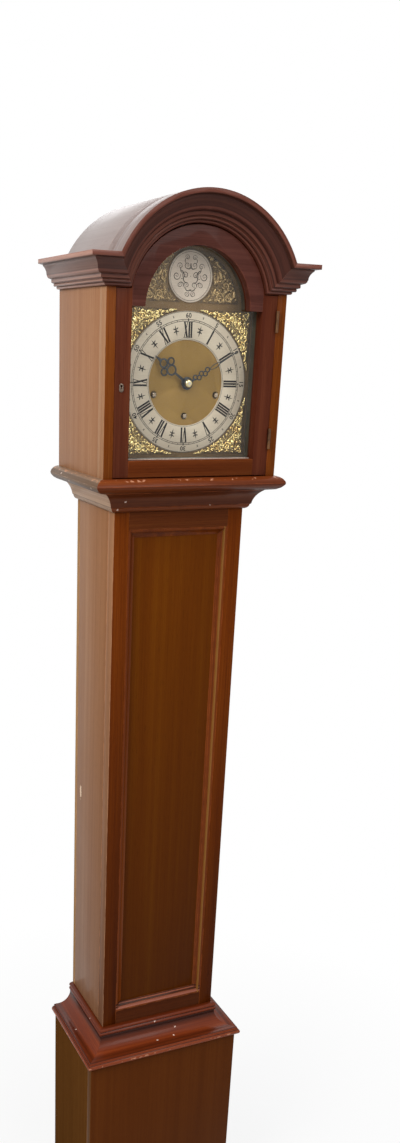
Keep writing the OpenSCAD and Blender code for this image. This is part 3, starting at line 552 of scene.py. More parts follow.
BASE_DIRT = [(0, 0.5), (2, 0.85), (8, 0.85), (8.8, 0.12), (9.9, 0.9), (11.6, 0.9), (12.4, 0.15),
             (13.4, 0.8), (22, 0.8), (29, 0.3), (34, 0.12), (36.5, 0.4), (40, 0.75), (41.6, 0.75),
             (42.5, 0.1), (43.4, 0.75), (47, 0.8), (50, 0.5)]
print("cornice heights", len(CORNICE_DIRT), "base heights", len(BASE_DIRT))

# %% [markdown]
# Each board gets its own seed, so that no two show the same figure. The front of the trunk darkens
# towards the floor, where less light reaches it, and the sides do so less.

# %% Boards of the case
FLAT = {"sheen": 0.015, "coat": 0.04}
DULL = {"sheen": 0.03, "coat": 0.15}
SIDEWAYS, UPWARD = 0, 2
side_fade = (UPWARD, 1.15, 0.35, (222, 222, 228))

def trunk_fade(*pale):
    return (UPWARD, 1.10, 0.45, pale)

boards = []
def board(node, shades, seed, **more):
    boards.append(finished(node, mahogany(node + "_wood", shades, node=node, seed=seed, **more)))

board("plinth_front", PLINTH, 1.0, flank=PLINTH_SIDE, calm=0.24, **FLAT)
board("plinth_sides", PLINTH_SIDE, 2.0, calm=0.24, sheen=0.0, coat=0.0)
board("trunk_side_left", SIDE, 3.0, calm=0.17, fade=side_fade,
      mark=((-0.097, 0.072, 0.74), (0.006, 0.005, 0.022)))
board("trunk_side_right", SIDE, 4.0, calm=0.17, fade=side_fade)
board("trunk_stiles", FRONT, 5.0, flank=HOOD_SIDE, fade=trunk_fade(188, 182, 186), **FLAT)
board("trunk_rails", RAIL, 6.0, run="across", fade=trunk_fade(206, 202, 206), **FLAT)
board("trunk_panel", PANEL, 7.0, polish=0.26, calm=0.17, fade=trunk_fade(212, 206, 212), **FLAT)
board("hood_side_left", HOOD_SIDE, 8.0, calm=0.18)
board("hood_side_right", HOOD_SIDE, 9.0, calm=0.18)
board("hood_posts", POST, 10.0, flank=HOOD_SIDE, **FLAT)
board("hood_arch_board", HOOD_FRONT, 11.0, run="across", flank=ROOF, **FLAT)
board("door_stiles", HOOD_FRONT, 12.0, **FLAT)
board("door_bottom_rail", DOOR_RAIL, 13.0, run="across", **FLAT)
board("door_arch_rail", DOOR_ARCH, 14.0, run="across")
board("hood_roof", ROOF, 15.0, run="back", calm=0.25, polish=0.34, coat=0.4, sheen=0.34, gleam=0.35)
print("boards finished", len(boards))

# %% [markdown]
# The mouldings carry the most dirt and painted shade, and are the most knocked, because they stick out. The
# one round the trunk panel has its own strips: painted shade on its lower length, with a painted highlight
# line in it and a pale painted highlight strip under it, and a golden painted reflection on its right
# length. The bead that holds the door's glass is as clean as the door.

# %% Mouldings of the case
board("skirting", PLINTH, 16.0, run="round", chips=0.4)
board("base_moulding", BASE, 17.0, run="round", chips=1.0, hollows=BASE_DIRT,
      worn=(0.0065, 0.0040, 0.5), coat=0.28, sheen=0.05, gleam=0.24)
board("waist_moulding", MOULD, 18.0, run="round", chips=1.0, flank=WAIST_SIDE,
      hollows=WAIST_DIRT, side_hollows=WAIST_SIDE_DIRT, worn=(0.0462, 0.0440, 0.6), **DULL)
board("cornice_returns", CORNICE, 19.0, run="round", flank=CORNICE_SIDE,
      hollows=CORNICE_DIRT, side_hollows=CORNICE_DIRT, coat=0.25, sheen=0.12)
board("cornice_arch", CORNICE, 20.0, run="arch", flank=ROOF, hollows=CORNICE_DIRT, sheen=0.05, coat=0.15)
panel_low, panel_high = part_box("panel_moulding")
foot, right_edge = panel_low[2], panel_high[0]
# On the panel moulding: painted shade, two painted highlight strips and a golden painted reflection.
board("panel_moulding", FRONT, 21.0, **DULL, trims=(
    (UPWARD, foot + 0.0050, foot + 0.0130, (60, 27, 11)),
    (UPWARD, foot + 0.0080, foot + 0.0095, (122, 72, 56)),
    (UPWARD, foot + 0.0022, foot + 0.0050, (138, 82, 64)),
    (SIDEWAYS, right_edge - 0.0050, right_edge - 0.0030, (126, 84, 38))))
board("glazing_bead", HOOD_FRONT, 22.0)
print("boards and mouldings finished", len(boards))

# %% [markdown]
# The hidden boards are plain unpolished softwood: the same kind of network with paler colours and no
# coat. They show only from behind and when the door is open.

# %% Hidden boards
plain = mahogany("plain_wood", SOFTWOOD, polish=0.6, coat=0.0, seed=30.0)
for node in ("bottom_board", "plinth_fillers", "backboard", "rear_access_panel", "seat_board"):
    finished(node, plain, 0.0004, 1)
print("hidden boards finished")

# %% [markdown]
# Nearly all the colour of brass and steel is in what they reflect. Old metal is never even: it has
# cloudy tarnish, and fine lines from the way it was worked. One helper makes a finish with both, and it
# can draw the lines out along one direction, as a file or a grained wheel leaves them.

# %% Metal finish
EVEN = (900.0, 900.0, 900.0)

def metal(name, bright, tarnished, rough, cloud, lines=EVEN, depth=0.15, shine=1.0):
    brass = Finish(name)
    clouds = brass.noise(brass.place, cloud, 5.0, 0.6, 0.4)
    fine = brass.noise(brass.stretch(brass.place, lines), 1.0, 3.0, 0.6)
    shade = brass.plus(brass.times(clouds, 0.65), brass.times(fine, 0.35))
    brass.set(Base_Color=brass.ramp(shade, [(0.34, tarnished), (0.60, bright)]), Metallic=shine)
    brass.roughen(clouds, 0.25, rough - 0.1)
    brass.bump(fine, depth, 0.0001)
    return brass

GRAINED = (60.0, 400.0, 900.0)
for look in (
        ("silvered_brass", (223, 213, 190), (207, 194, 170), 0.5, 22.0, GRAINED, 0.15, 0.1),
        # The boss's silver is a darker copy of the ring's: painted shade of the recess in the arch.
        ("boss_silver", (219, 207, 189), (197, 181, 163), 0.5, 30.0, GRAINED, 0.15, 0.1),
        ("keyhole_steel", (128, 112, 98), (60, 48, 42), 0.3, 420.0),
        ("movement_brass", (196, 160, 88), (150, 116, 58), 0.3, 40.0, (40.0, 300.0, 1500.0)),
        ("cabinet_brass", (112, 78, 48), (62, 42, 30), 0.42, 90.0, EVEN, 0.15, 0.8),
        ("bright_steel", (214, 212, 208), (160, 156, 150), 0.24, 60.0),
        ("winding_steel", (196, 180, 156), (74, 62, 50), 0.22, 260.0),
        ("gong_steel", (132, 120, 104), (84, 74, 64), 0.4, 80.0),
        ("polished_brass", (232, 222, 180), (196, 176, 118), 0.2, 50.0),
        ("blued_steel", (66, 72, 76), (34, 38, 42), 0.34, 120.0, EVEN, 0.15, 0.75)):
    metal(*look)
print("metals defined")

# %% [markdown]
# The dial plate is one sheet of brass with two finishes. The middle, inside the ring of hours, is
# matted: a craftsman rolls or punches thousands of tiny pits into it, and lacquers it gold. The rest is
# plain and has gone brown. The pits are a small cell pattern that sets the bump, and the distance from
# the dial's centre chooses between the two.

# %% Dial plate finish
MATTED = 0.0545          # radius of the matted middle
ring_low, ring_high = (Vector(c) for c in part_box("chapter_ring"))
dial_centre = Vector(((ring_low.x + ring_high.x) / 2, ring_low.y, (ring_low.z + ring_high.z) / 2))
ring_radius = (ring_high.x - ring_low.x) / 2
dial_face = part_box("dial_plate")[0][1]
print("dial centre", [round(v, 4) for v in dial_centre], "ring radius", round(ring_radius, 4))

plate = Finish("dial_brass")
flat = plate.stretch(plate.place, (1.0, 0.0, 1.0), (0.0, 0.0, -dial_centre.z))
outside = plate.over(plate.length(flat), MATTED)
pits = plate.add("TexVoronoi", Vector=plate.place, Scale=1600.0)
clouds = plate.noise(plate.place, 26.0, 4.0, 0.6)
gold = plate.ramp(clouds, [(0.35, (148, 116, 50)), (0.65, (161, 128, 58))])
brown = plate.ramp(clouds, [(0.35, (110, 86, 50)), (0.65, (135, 108, 68))])
plate.set(Base_Color=plate.blend(outside, gold, brown), Metallic=0.25)
plate.roughen(clouds, 0.15, 0.5)
plate.bump(plate.times(pits.outputs["Distance"], plate.sum("SUBTRACT", 1.0, outside)), 0.35, 0.0003)

# %% [markdown]
# Behind the door a painted mask closes the gap between the glass and the dial. It is a dark grey-green and
# a little dusty, with painted shade darkening it towards the right, the hinge side. The glass is thin and
# old: it lets the eye and the lamps straight through and only mirrors a little, more at a slant, so it is
# a clear shader mixed with a mirror by the angle of view.

# %% Mask paint and glass
mask = Finish("mask_paint")
dust = mask.noise(mask.place, 40.0, 5.0, 0.6)
# Painted shade: the paint darkens towards the right, as in the shadow of the door's frame.
grime = mask.ramp(mask.times(mask.parts()[0], 10.0), [(0.25, WHITE), (0.55, (150, 146, 138))])
old_paint = mask.ramp(dust, [(0.35, (116, 120, 114)), (0.65, (142, 144, 136))])
mask.set(Base_Color=mask.blend(1.0, old_paint, grime, "MULTIPLY"))
mask.roughen(dust, 0.2, 0.5)
mask.bump(mask.noise(mask.place, 600.0), 0.1, 0.0002)

pane = Finish("clear_glass")
ripple = pane.add("Bump", Strength=0.03, Height=pane.noise(pane.place, 18.0, 1.0))
clear = pane.add("BsdfTransparent", Color=(0.955, 0.95, 0.945, 1.0))
mirror = pane.add("BsdfGlossy", Roughness=0.03, Normal=ripple.outputs["Normal"])
slant = pane.sum("POWER", pane.add("LayerWeight", Blend=0.5).outputs["Facing"], 4.0)
pane.show(pane.mix_shaders(pane.plus(pane.times(slant, 0.5), 0.02), clear, mirror))
pane.tree.nodes.remove(pane.shader)
print("dial plate, mask and glass ready")

# %% [markdown]
# The model's own metal parts already have their right shapes. The small ones that show are copied and
# their edges rounded, because a turned or filed edge always catches a line of light. The others keep
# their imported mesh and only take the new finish.

# %% Metal parts
rounded_metal = (
    ("chapter_ring", "silvered_brass", 0.0003), ("dial_boss", "boss_silver", 0.0003),
    ("dial_plate", "dial_brass", 0.0002), ("minute_hand", "blued_steel", 0.00018),
    ("hour_hand", "blued_steel", 0.0002), ("hand_nut", "polished_brass", 0.0002),
    ("escutcheon", "keyhole_steel", 0.0003), ("winding_arbor_left", "winding_steel", 0.0006),
    ("winding_arbor_centre", "winding_steel", 0.0006), ("winding_arbor_right", "winding_steel", 0.0006),
    ("pendulum_bob", "movement_brass", 0.0005))
for node, finish, rounding in rounded_metal:
    finished(node, finishes[finish], rounding)

plain_metal = {
    "cabinet_brass": ("lock_case", "door_hinge_leaves", "fixed_hinge_leaves", "rear_panel_screws"),
    "bright_steel": ("lock_bolt", "movement_brackets", "centre_arbor", "pallet_anchor", "pendulum_rod",
                     "hammers"),
    "movement_brass": ("front_plate", "back_plate", "plate_pillars", "spring_barrels", "train_wheels",
                       "minute_wheel", "hour_wheel"),
    "gong_steel": ("gong_set",), "mask_paint": ("dial_mask",), "clear_glass": ("door_glass",)}
for finish, names in plain_metal.items():
    for node in names:
        for place in nodes[node].material_slots:
            place.material = finishes[finish]
print("metal parts", len(rounded_metal) + sum(len(names) for names in plain_metal.values()))

# %% [markdown]
# The hours are engraved in the silvered ring and filled with black wax. Each numeral is a few strokes:
# thick ones, thin ones and short serifs. One small bar is modelled, and every stroke is a copy of it
# that is stretched and slanted by a matrix, so the bar's soft edges come along with each copy.

# %% Wax and patterns
WAX_DEPTH = 0.00012      # how far the wax stands out of its engraved line
wax = Finish("black_wax")
grainy = wax.noise(wax.place, 900.0, 3.0)
wax.set(Base_Color=wax.ramp(grainy, [(0.35, (14, 12, 13)), (0.7, (34, 30, 30))]), Specular_IOR_Level=0.2)
wax.roughen(grainy, 0.2, 0.45)
wax.bump(grainy, 0.2, 0.0001)

def as_pattern(name):
    pattern = bpy.context.active_object
    mesh = pattern.data.copy()
    mesh.name = name
    bpy.data.objects.remove(pattern)
    return mesh

def stamp(pattern, place):
    mesh = pattern.copy()
    mesh.transform(place)
    if place.determinant() < 0.0:
        mesh.flip_normals()
    item = bpy.data.objects.new("stamp", mesh)
    bpy.context.scene.collection.objects.link(item)
    return item

def gather(name, items, material, body):
    select_none()
    for item in items:
        item.select_set(True)
    bpy.context.view_layer.objects.active = items[0]
    bpy.ops.object.join()
    piece = bpy.context.active_object
    piece.name = name
    dress(piece, material, body)
    return piece

def engrave(name, items):
    print(name, "from", len(items), "parts")
    return gather(name, items, wax.material, "case")

print("wax depth", WAX_DEPTH)

# %% [markdown]
# The bar is a cube of one metre that stands in front of the middle, so that it can be scaled to any
# size. Only its front face is bevelled: the back lies against the metal.

# %% Bar pattern
select_none()
bpy.ops.mesh.primitive_cube_add(size=1.0, location=(0.0, -0.5, 0.0))
bpy.ops.object.transform_apply(location=True, rotation=True, scale=True)
bpy.ops.object.mode_set(mode="EDIT")
bpy.ops.mesh.select_mode(type="FACE")
bpy.ops.mesh.select_all(action="DESELECT")
mesh = bmesh.from_edit_mesh(bpy.context.active_object.data)
for face in mesh.faces:
    face.select = face.normal.y < -0.5
bmesh.update_edit_mesh(bpy.context.active_object.data)
bpy.ops.mesh.bevel(offset=0.12, segments=1, affect="EDGES")
bpy.ops.object.mode_set(mode="OBJECT")
bar = as_pattern("bar")
print("bar faces", len(bar.polygons))

# %% [markdown]
# A place on the dial is an angle, clockwise from the top, and a distance from the centre. Every hour
# stands with its foot towards the centre, as on most old dials. Four is written with four strokes.

# %% Hour numerals
HOUR = 30.0              # degrees from one hour to the next
NUMERALS_AT = 0.0651     # from the dial's centre to the middle of each numeral
TALL, THICK, THIN, SERIF = 0.0192, 0.0023, 0.0009, 0.0006
WIDTHS = {"I": 0.0031, "V": 0.0064, "X": 0.0066}
SLANTS = {"I": ((THICK, 0.0, 0.0),), "V": ((THICK, -0.0024, -0.0010), (THIN, 0.0022, 0.0014)),
          "X": ((THICK, -0.0042, 0.0), (THIN, 0.0042, 0.0))}
V_FOOT = 0.0018          # the lower serif of a V is short, because its strokes meet there

def spin(degrees):
    return Matrix.Rotation(math.radians(degrees), 4, "Y")

def on_dial(angle, distance):
    return Matrix.Translation(dial_centre) @ spin(angle) @ Matrix.Translation((0.0, 0.0, distance))

def stroke(width, height, slant=0.0, x=0.0, z=0.0, depth=WAX_DEPTH):
    return Matrix(((width, 0.0, slant, x), (0.0, depth, 0.0, 0.0), (0.0, 0.0, height, z),
                   (0.0, 0.0, 0.0, 1.0)))

def numeral_strokes(word):
    x = -sum(WIDTHS[letter] for letter in word) / 2
    strokes = []
    for letter in word:
        mid = x + WIDTHS[letter] / 2
        for width, slant, aside in SLANTS[letter]:
            strokes.append(stroke(width, TALL, slant, mid + aside))
        for end in (-1, 1):
            wide = V_FOOT if letter == "V" and end < 0 else WIDTHS[letter] - 0.0002
            strokes.append(stroke(wide, SERIF, 0.0, mid, end * (TALL - SERIF) / 2))
        x += WIDTHS[letter]
    return strokes

hours = ("XII", "I", "II", "III", "IIII", "V", "VI", "VII", "VIII", "IX", "X", "XI")
engrave("hour_numerals", [stamp(bar, on_dial(HOUR * number, NUMERALS_AT) @ place)
                          for number, word in enumerate(hours) for place in numeral_strokes(word)])

# %% [markdown]
# Outside the hours run two thin circles with a tick at every minute, a longer one at each fifth, and a
# small cross between the fives. A line also runs round each edge of the ring. A thin ring is a filled
# circle whose middle is inset and taken away.

# %% Minute track
TRACK_AT, CROSSES_AT = 0.0764, 0.0821
TICK, LONG_TICK, CROSS = (0.0005, 0.0019), (0.0013, 0.0032), (0.0006, 0.0026)
LONG_SHIFT, CROSS_SLANT = 0.0007, 0.0016
LINES = ((0.0752, 0.0758), (0.0772, 0.0778), (0.0540, 0.0544), (0.0866, 0.0871))

def flat_circle(corners, radius):
    select_none()
    bpy.ops.mesh.primitive_circle_add(vertices=corners, radius=radius, fill_type="NGON",
                                      rotation=(math.pi / 2, 0.0, 0.0))
    bpy.ops.object.transform_apply(location=True, rotation=True, scale=True)
    bpy.ops.object.mode_set(mode="EDIT")
    bpy.ops.mesh.select_all(action="SELECT")
    return bpy.context.active_object

def thicken(depth):
    bpy.ops.mesh.select_all(action="SELECT")
    bpy.ops.mesh.extrude_region_move(TRANSFORM_OT_translate={"value": (0.0, -depth, 0.0)})
    bpy.ops.mesh.select_all(action="SELECT")
    bpy.ops.mesh.normals_make_consistent(inside=False)
    bpy.ops.object.mode_set(mode="OBJECT")

def ring_piece(inner, outer, centre):
    piece = flat_circle(120, outer)
    bpy.ops.mesh.inset(thickness=outer - inner)
    bpy.ops.mesh.delete(type="FACE")
    thicken(WAX_DEPTH)
    piece.data.transform(Matrix.Translation(centre))
    return piece

track = [ring_piece(inner, outer, dial_centre) for inner, outer in LINES]
for minute in range(60):
    if minute % 5 == 0:
        place = on_dial(6.0 * minute, TRACK_AT + LONG_SHIFT) @ stroke(*LONG_TICK)
    else:
        place = on_dial(6.0 * minute, TRACK_AT) @ stroke(*TICK)
    track.append(stamp(bar, place))
for number in range(12):
    for slant in (-CROSS_SLANT, CROSS_SLANT):
        track.append(stamp(bar, on_dial(HOUR * (number + 0.5), CROSSES_AT) @ stroke(*CROSS, slant)))
engrave("minute_track", track)

# %% [markdown]
# The minute figures are real text. Blender makes text flat on the ground, so it is turned into a mesh,
# stood up and carried to its place. Its curves are kept coarse, because the figures are tiny.

# %% Minute figures
FIGURES_AT, FIGURE_SIZE = 0.0820, 0.0082

def figure(words):
    select_none()
    bpy.ops.object.text_add()
    text = bpy.context.active_object.data
    text.body = words
    text.size = FIGURE_SIZE
    text.align_x = "CENTER"
    text.align_y = "CENTER"
    text.extrude = WAX_DEPTH / 2
    text.offset = 0.00014
    text.resolution_u = 2
    bpy.ops.object.convert(target="MESH")
    item = bpy.context.active_object
    upright = Matrix.Rotation(math.pi / 2, 4, "X")
    item.data.transform(Matrix.Translation((0.0, -WAX_DEPTH / 2, 0.0)) @ upright)
    return item

figures = []
for number in range(12):
    item = figure(str(60 if number == 0 else 5 * number))
    item.data.transform(on_dial(HOUR * number, FIGURES_AT))
    figures.append(item)
engrave("minute_figures", figures)

# %% [markdown]
# Halfway between the hours stands a small flower: a long pointed stem with two petals across it and two
# at its foot. A pointed petal is a circle of eight corners drawn out and given a thickness.

# %% Half-hour flowers
FLOWERS_AT = 0.0657
STEM, PETAL = (0.0021, 0.0142), (0.0017, 0.0043)
TAPER = 1.55             # how fast a petal narrows towards its tips
PETALS = ((66.0, 0.0021, 0.0022), (108.0, 0.0020, -0.0014))

flat_circle(8, 0.5)
thicken(1.0)
petal = as_pattern("petal")
for vertex in petal.vertices:
    vertex.co.x *= 1.0 - TAPER * abs(vertex.co.z)
flowers = []
for number in range(12):
    home = on_dial(HOUR * (number + 0.5), FLOWERS_AT)
    flowers.append(stamp(petal, home @ stroke(*STEM)))
    for turn, aside, height in PETALS:
        for side in (1, -1):
            lean = Matrix.Translation((side * aside, 0.0, height)) @ spin(side * turn)
            flowers.append(stamp(petal, home @ lean @ stroke(*PETAL)))
engrave("half_hour_flowers", flowers)

# %% [markdown]
# The corners of the dial carry gilt castings of scrolls and leaves. A casting is a thin plate with the
# ornament standing on it: the high parts are rubbed bright and the hollows stay dark, so the finish
# looks at how far each point stands out from the dial.

# %% Casting finishes
HOLLOW, CREST = 0.0004, 0.0014   # in front of the dial, where the casting is darkest and brightest

def casting_finish(name, bright, tarnished, deepest, shine):
    cast = metal(name, bright, tarnished, 0.22, 130.0, EVEN, 0.25, shine)
    height = cast.span(cast.parts()[1], dial_face - HOLLOW, dial_face - CREST)
    gilt = cast.shader.inputs["Base Color"].links[0].from_socket
    cast.set(Base_Color=cast.blend(height, deepest, gilt))
    return cast.material

cast_brass = casting_finish("cast_brass", (252, 238, 176), (198, 160, 86), (72, 54, 28), 0.95)
# The arch's finish is darker and duller than the corners': painted shade from the hood.
arch_brass = casting_finish("arch_brass", (206, 180, 128), (146, 120, 82), (84, 66, 44), 0.5)
cast_ground = metal("cast_ground", (112, 90, 56), (54, 42, 26), 0.45, 160.0, EVEN, 0.4, 0.4).material
print("casting finishes ready")

# %% [markdown]
# All the ornament comes from two small patterns. One is a scroll, a curve that winds inwards with a
# swelling line and ends in a round eye. The other is a leaf, a ball pulled to a tip and bent.

# %% Scroll and leaf
def scroll_pattern(name, turns, points, start, thick, eye):
    curve = bpy.data.curves.new(name, "CURVE")
    curve.dimensions = "3D"
    curve.bevel_depth = 1.0
    curve.bevel_resolution = 1
    curve.use_fill_caps = True
    line = curve.splines.new("POLY")
    line.points.add(points - 1)
    for number, point in enumerate(line.points):
        share = number / (points - 1)
        turn = turns * 2.0 * math.pi * share
        reach = start * (1.0 - share) ** 1.15 + 0.13
        point.co = (reach * math.cos(turn), 0.0, reach * math.sin(turn), 1.0)
        point.radius = thick * (0.35 + 0.65 * math.sin(math.pi * min(1.0, share * 1.25 + 0.08)))
    line.points[-1].radius = eye
    line.points[-2].radius = eye
    item = bpy.data.objects.new(name, curve)
    bpy.context.scene.collection.objects.link(item)
    activate(item)
    bpy.ops.object.convert(target="MESH")
    bpy.ops.object.shade_smooth()
    return as_pattern(name)

scroll = scroll_pattern("scroll", 1.35, 15, 0.87, 0.20, 0.26)
select_none()
bpy.ops.mesh.primitive_ico_sphere_add(subdivisions=2, radius=0.5)
bpy.ops.object.shade_smooth()
leaf = as_pattern("leaf")
for vertex in leaf.vertices:
    reach = vertex.co.z + 0.5
    vertex.co.x = vertex.co.x * (1.25 - 0.9 * reach) * 0.62 + 0.30 * reach * reach
    vertex.co.y *= 0.5 * (1.2 - 0.5 * reach)
print("scroll faces", len(scroll.polygons), "leaf faces", len(leaf.polygons))

# %% [markdown]
# Large ornaments are laid out one by one, each with a place, a turn and a size. The space between them is
# then filled with leaves and small scrolls at a set distance apart, from a seeded list of places, so
# that the result is the same every time.

# %% Ornament helpers
FULL_TURN = 6.28
LEAF_SIZES = (0.0038, 0.0060)    # smallest and largest leaf that fills a gap
RAISED = 0.0009          # how far in front of the dial the middle of each ornament lies

def ornament(x, z, turn, size, lift=0.0):
    return (Matrix.Translation((x, -lift, z)) @ Matrix.Rotation(turn, 4, "Y")
            @ Matrix.Diagonal((size, size, size, 1.0)))

def laid_out(rows):
    return [(pattern, ornament(x, z, math.radians(turn), size, lift))
            for pattern, x, z, turn, size, lift in rows]

def filling(inside, box, seed, spacing, tries, scroll_share, scroll_sizes):
    dice = random.Random(seed)
    spots = []
    for _ in range(tries):
        x = dice.uniform(box[0], box[1])
        z = dice.uniform(box[2], box[3])
        if inside(x, z) and all((x - a) ** 2 + (z - b) ** 2 > spacing ** 2 for a, b in spots):
            spots.append((x, z))
    found = []
    for x, z in spots:
        is_scroll = dice.random() < scroll_share
        turn = dice.uniform(0.0, FULL_TURN)
        size = dice.uniform(*(scroll_sizes if is_scroll else LEAF_SIZES))
        found.append((scroll if is_scroll else leaf, ornament(x, z, turn, size)))
    return found

def mirrored(side, end, height):
    return Matrix.Translation((0.0, dial_face - RAISED, height)) @ Matrix.Diagonal((side, 1.0, end, 1.0))

print("leaf sizes", LEAF_SIZES)

# %% [markdown]
# Each corner casting is the same on both sides of its own middle line, so only half is laid out and the
# other half is its mirror image. A shell of four leaves sits in the corner with a large scroll beside
# it, and a row of small leaves runs out along the edge.

# %% Corner castings
PLATE_RIM, LEAF_ROOM = 0.0012, 0.001     # what the ornament leaves free at its plate's edge
RING_ROOM = 0.0025       # and round the hour ring
corner_high = Vector(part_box("corner_spandrels")[1])
edge_x, edge_z = corner_high.x - PLATE_RIM, corner_high.z - dial_centre.z - PLATE_RIM

def in_corner_half(x, z):
    return (x < edge_x - LEAF_ROOM and z < edge_z - LEAF_ROOM and z > x
            and math.hypot(x, z) > ring_radius + RING_ROOM)

shell = [(leaf, 0.0755, 0.0755, 45.0 - 22.0 * n, 0.0105 - 0.001 * n, 0.0003) for n in range(4)]
row = [(leaf, 0.0180 + 0.0028 * n, 0.0884 - 0.0001 * n, -98.0 + 14.0 * (n % 2), 0.0040, 0.0)
       for n in range(4)]
half = laid_out(shell + [
    (scroll, 0.0640, 0.0792, 60.0, 0.0060, 0.0003), (scroll, 0.0500, 0.0822, 150.0, 0.0042, 0.0003),
    (leaf, 0.0570, 0.0846, -80.0, 0.0090, 0.0002), (scroll, 0.0305, 0.0865, 200.0, 0.0026, 0.0002),
    (leaf, 0.0365, 0.0850, -95.0, 0.0085, 0.0002)] + row)
half += filling(in_corner_half, (0.020, edge_x, 0.05, edge_z), 7, 0.00215, 6000, 0.45, (0.0015, 0.0022))
swap = Matrix(((0.0, 0.0, 1.0, 0.0), (0.0, 1.0, 0.0, 0.0), (1.0, 0.0, 0.0, 0.0), (0.0, 0.0, 0.0, 1.0)))
castings = [stamp(pattern, mirrored(side, end, dial_centre.z) @ flip @ place) for side in (-1.0, 1.0)
            for end in (-1.0, 1.0) for pattern, place in half for flip in (Matrix(), swap)]
corner_castings = gather("corner_castings", castings, cast_brass, "case")
print("corner ornaments", len(castings), "faces", len(corner_castings.data.polygons))

# %% [markdown]
# The arch has a pair of castings, one on each side of the round boss. They are made the same way, in the
# space between the boss's plain border and the curve of the opening, and their finish is a darker, duller
# copy, which is painted shade from the hood.

# %% Arch castings
cast_low, cast_high = (Vector(c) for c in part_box("arch_spandrels"))
boss_low, boss_high = (Vector(c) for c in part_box("dial_boss"))
boss_z = (boss_low.z + boss_high.z) / 2
boss_r = (boss_high.x - boss_low.x) / 2
ARCH_OPENING = 0.0714    # radius of the opening's curve
ARCH_SINK = 0.009        # how far the middle of that curve lies below the castings' foot
arch_r = cast_high.x / math.cos(math.asin(ARCH_SINK / ARCH_OPENING))
arch_mid = cast_low.z - ARCH_SINK
FIRST_LEAF = 0.004       # nothing stands nearer to the arch's middle line
EDGE_ROOM, BOSS_ROOM = 0.0022, 0.0042    # what is left free at the plate's edge and round the boss

def in_arch_half(x, z):
    return (x > FIRST_LEAF and z > cast_low.z + EDGE_ROOM
            and math.hypot(x, z - arch_mid) < arch_r - EDGE_ROOM
            and math.hypot(x, z - boss_z) > boss_r + BOSS_ROOM)

half = laid_out([(scroll, 0.0425, cast_low.z + 0.0080, 20.0, 0.0064, 0.0003),
                 (scroll, 0.0560, cast_low.z + 0.0072, 200.0, 0.0050, 0.0003),
                 (scroll, 0.0510, cast_low.z + 0.0215, 110.0, 0.0056, 0.0003),
                 (leaf, 0.0630, cast_low.z + 0.0120, -20.0, 0.0105, 0.0003),
                 (leaf, 0.0420, cast_low.z + 0.0330, -50.0, 0.0110, 0.0003)])
half += filling(in_arch_half, (FIRST_LEAF, cast_high.x, cast_low.z, cast_high.z), 19, 0.0025, 2600, 0.5,
                (0.0016, 0.0023))
castings = [stamp(pattern, mirrored(side, 1.0, 0.0) @ place)
            for side in (-1.0, 1.0) for pattern, place in half]
arch_castings = gather("arch_castings", castings, arch_brass, "case")
print("arch ornaments", len(castings), "faces", len(arch_castings.data.polygons))

# %% [markdown]
# Under the ornament lies each casting's thin ground. It is the model's own plate, pressed flatter on a
# copy, in a darker brass.

# %% Casting grounds
PLATE, RELIEF = 0.0008, 0.0007   # thickness of the plate, and from where on it is relief
FLATTER = 0.3            # how much of the relief is left
for node in ("corner_spandrels", "arch_spandrels"):
    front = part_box(node)[0][1]
    for vertex in finished(node, cast_ground, 0.0001, 1).data.vertices:
        if vertex.co.y < dial_face - RELIEF:
            vertex.co.y = dial_face - PLATE + FLATTER * (vertex.co.y - front)
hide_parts("corner_spandrels")
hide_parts("arch_spandrels")
print("grounds made")

# %% [markdown]
# The boss in the arch is silvered like the hour ring, in a slightly darker copy of its finish that is
# painted shade from the arch, and is engraved with thin pen flourishes. They are the same scroll, drawn
# much thinner and pressed flat, filled with wax, in mirrored rows inside a border.

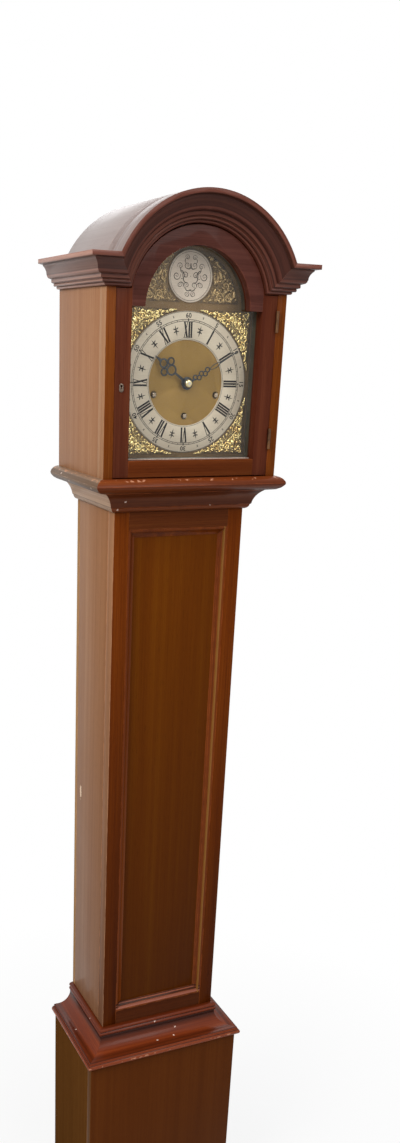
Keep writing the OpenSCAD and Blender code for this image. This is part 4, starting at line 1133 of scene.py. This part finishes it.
# %% Boss flourishes
fine = scroll_pattern("fine_scroll", 1.6, 26, 0.87, 0.10, 0.16)
sweep = scroll_pattern("sweep", 0.42, 12, 0.95, 0.09, 0.05)
rows = ((0.0215, 0.0050, 0.0034, 0.0), (0.0125, 0.0050, 0.0044, 150.0), (0.0115, 0.0150, 0.0040, 20.0),
        (0.0010, 0.0072, 0.0046, 30.0), (0.0000, 0.0195, 0.0054, 200.0), (-0.0105, 0.0052, 0.0044, 90.0),
        (-0.0100, 0.0150, 0.0038, 250.0), (-0.0205, 0.0048, 0.0032, 170.0))
boss_middle = Vector((0.0, boss_low.y + 0.0010, boss_z))
flourishes = []
for side in (-1.0, 1.0):
    pressed = Matrix.Translation(boss_middle) @ Matrix.Diagonal((side, 0.35, 1.0, 1.0))
    for rise, out, size, turn in rows:
        flourishes.append(stamp(fine, pressed @ ornament(out, rise, math.radians(turn), size)))
        flourishes.append(stamp(sweep, pressed @ ornament(out * 0.6 + 0.002, rise - 0.002,
                                                          math.radians(turn + 70.0), size * 1.5)))
flourishes.append(stamp(petal, Matrix.Translation(boss_middle) @ stroke(0.0012, 0.0012)))
flourishes.append(ring_piece(boss_r - 0.0024, boss_r - 0.0020, boss_middle))
engrave("boss_flourishes", flourishes)

# %% [markdown]
# A thin pale line where the glass meets the bottom rail of the door is a painted highlight, drawn as a strip
# of old putty. It is the same small bar, stretched along the foot of the opening.

# %% Painted highlight at the foot of the glass
putty = Finish("old_putty")
crumbs = putty.noise(putty.place, 420.0, 4.0)
putty.set(Base_Color=putty.ramp(crumbs, [(0.35, (168, 146, 130)), (0.65, (206, 190, 178))]))
putty.roughen(crumbs, 0.2, 0.5)
putty.bump(crumbs, 0.3, 0.0003)
GLASS_LAP = 0.0052       # how far the pane runs behind the door's frame at each side
rail_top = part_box("door_bottom_rail")[1][2]
glass_low, glass_high = (Vector(c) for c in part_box("door_glass"))
opening = 2.0 * (glass_high.x - GLASS_LAP)
line = stamp(bar, Matrix.Translation((0.0, glass_low.y - 0.00002, rail_top))
             @ stroke(opening, 0.0014, z=0.0006, depth=0.0006))
gather("putty_line", [line], putty.material, "hood_door")
print("putty line", round(opening, 4))
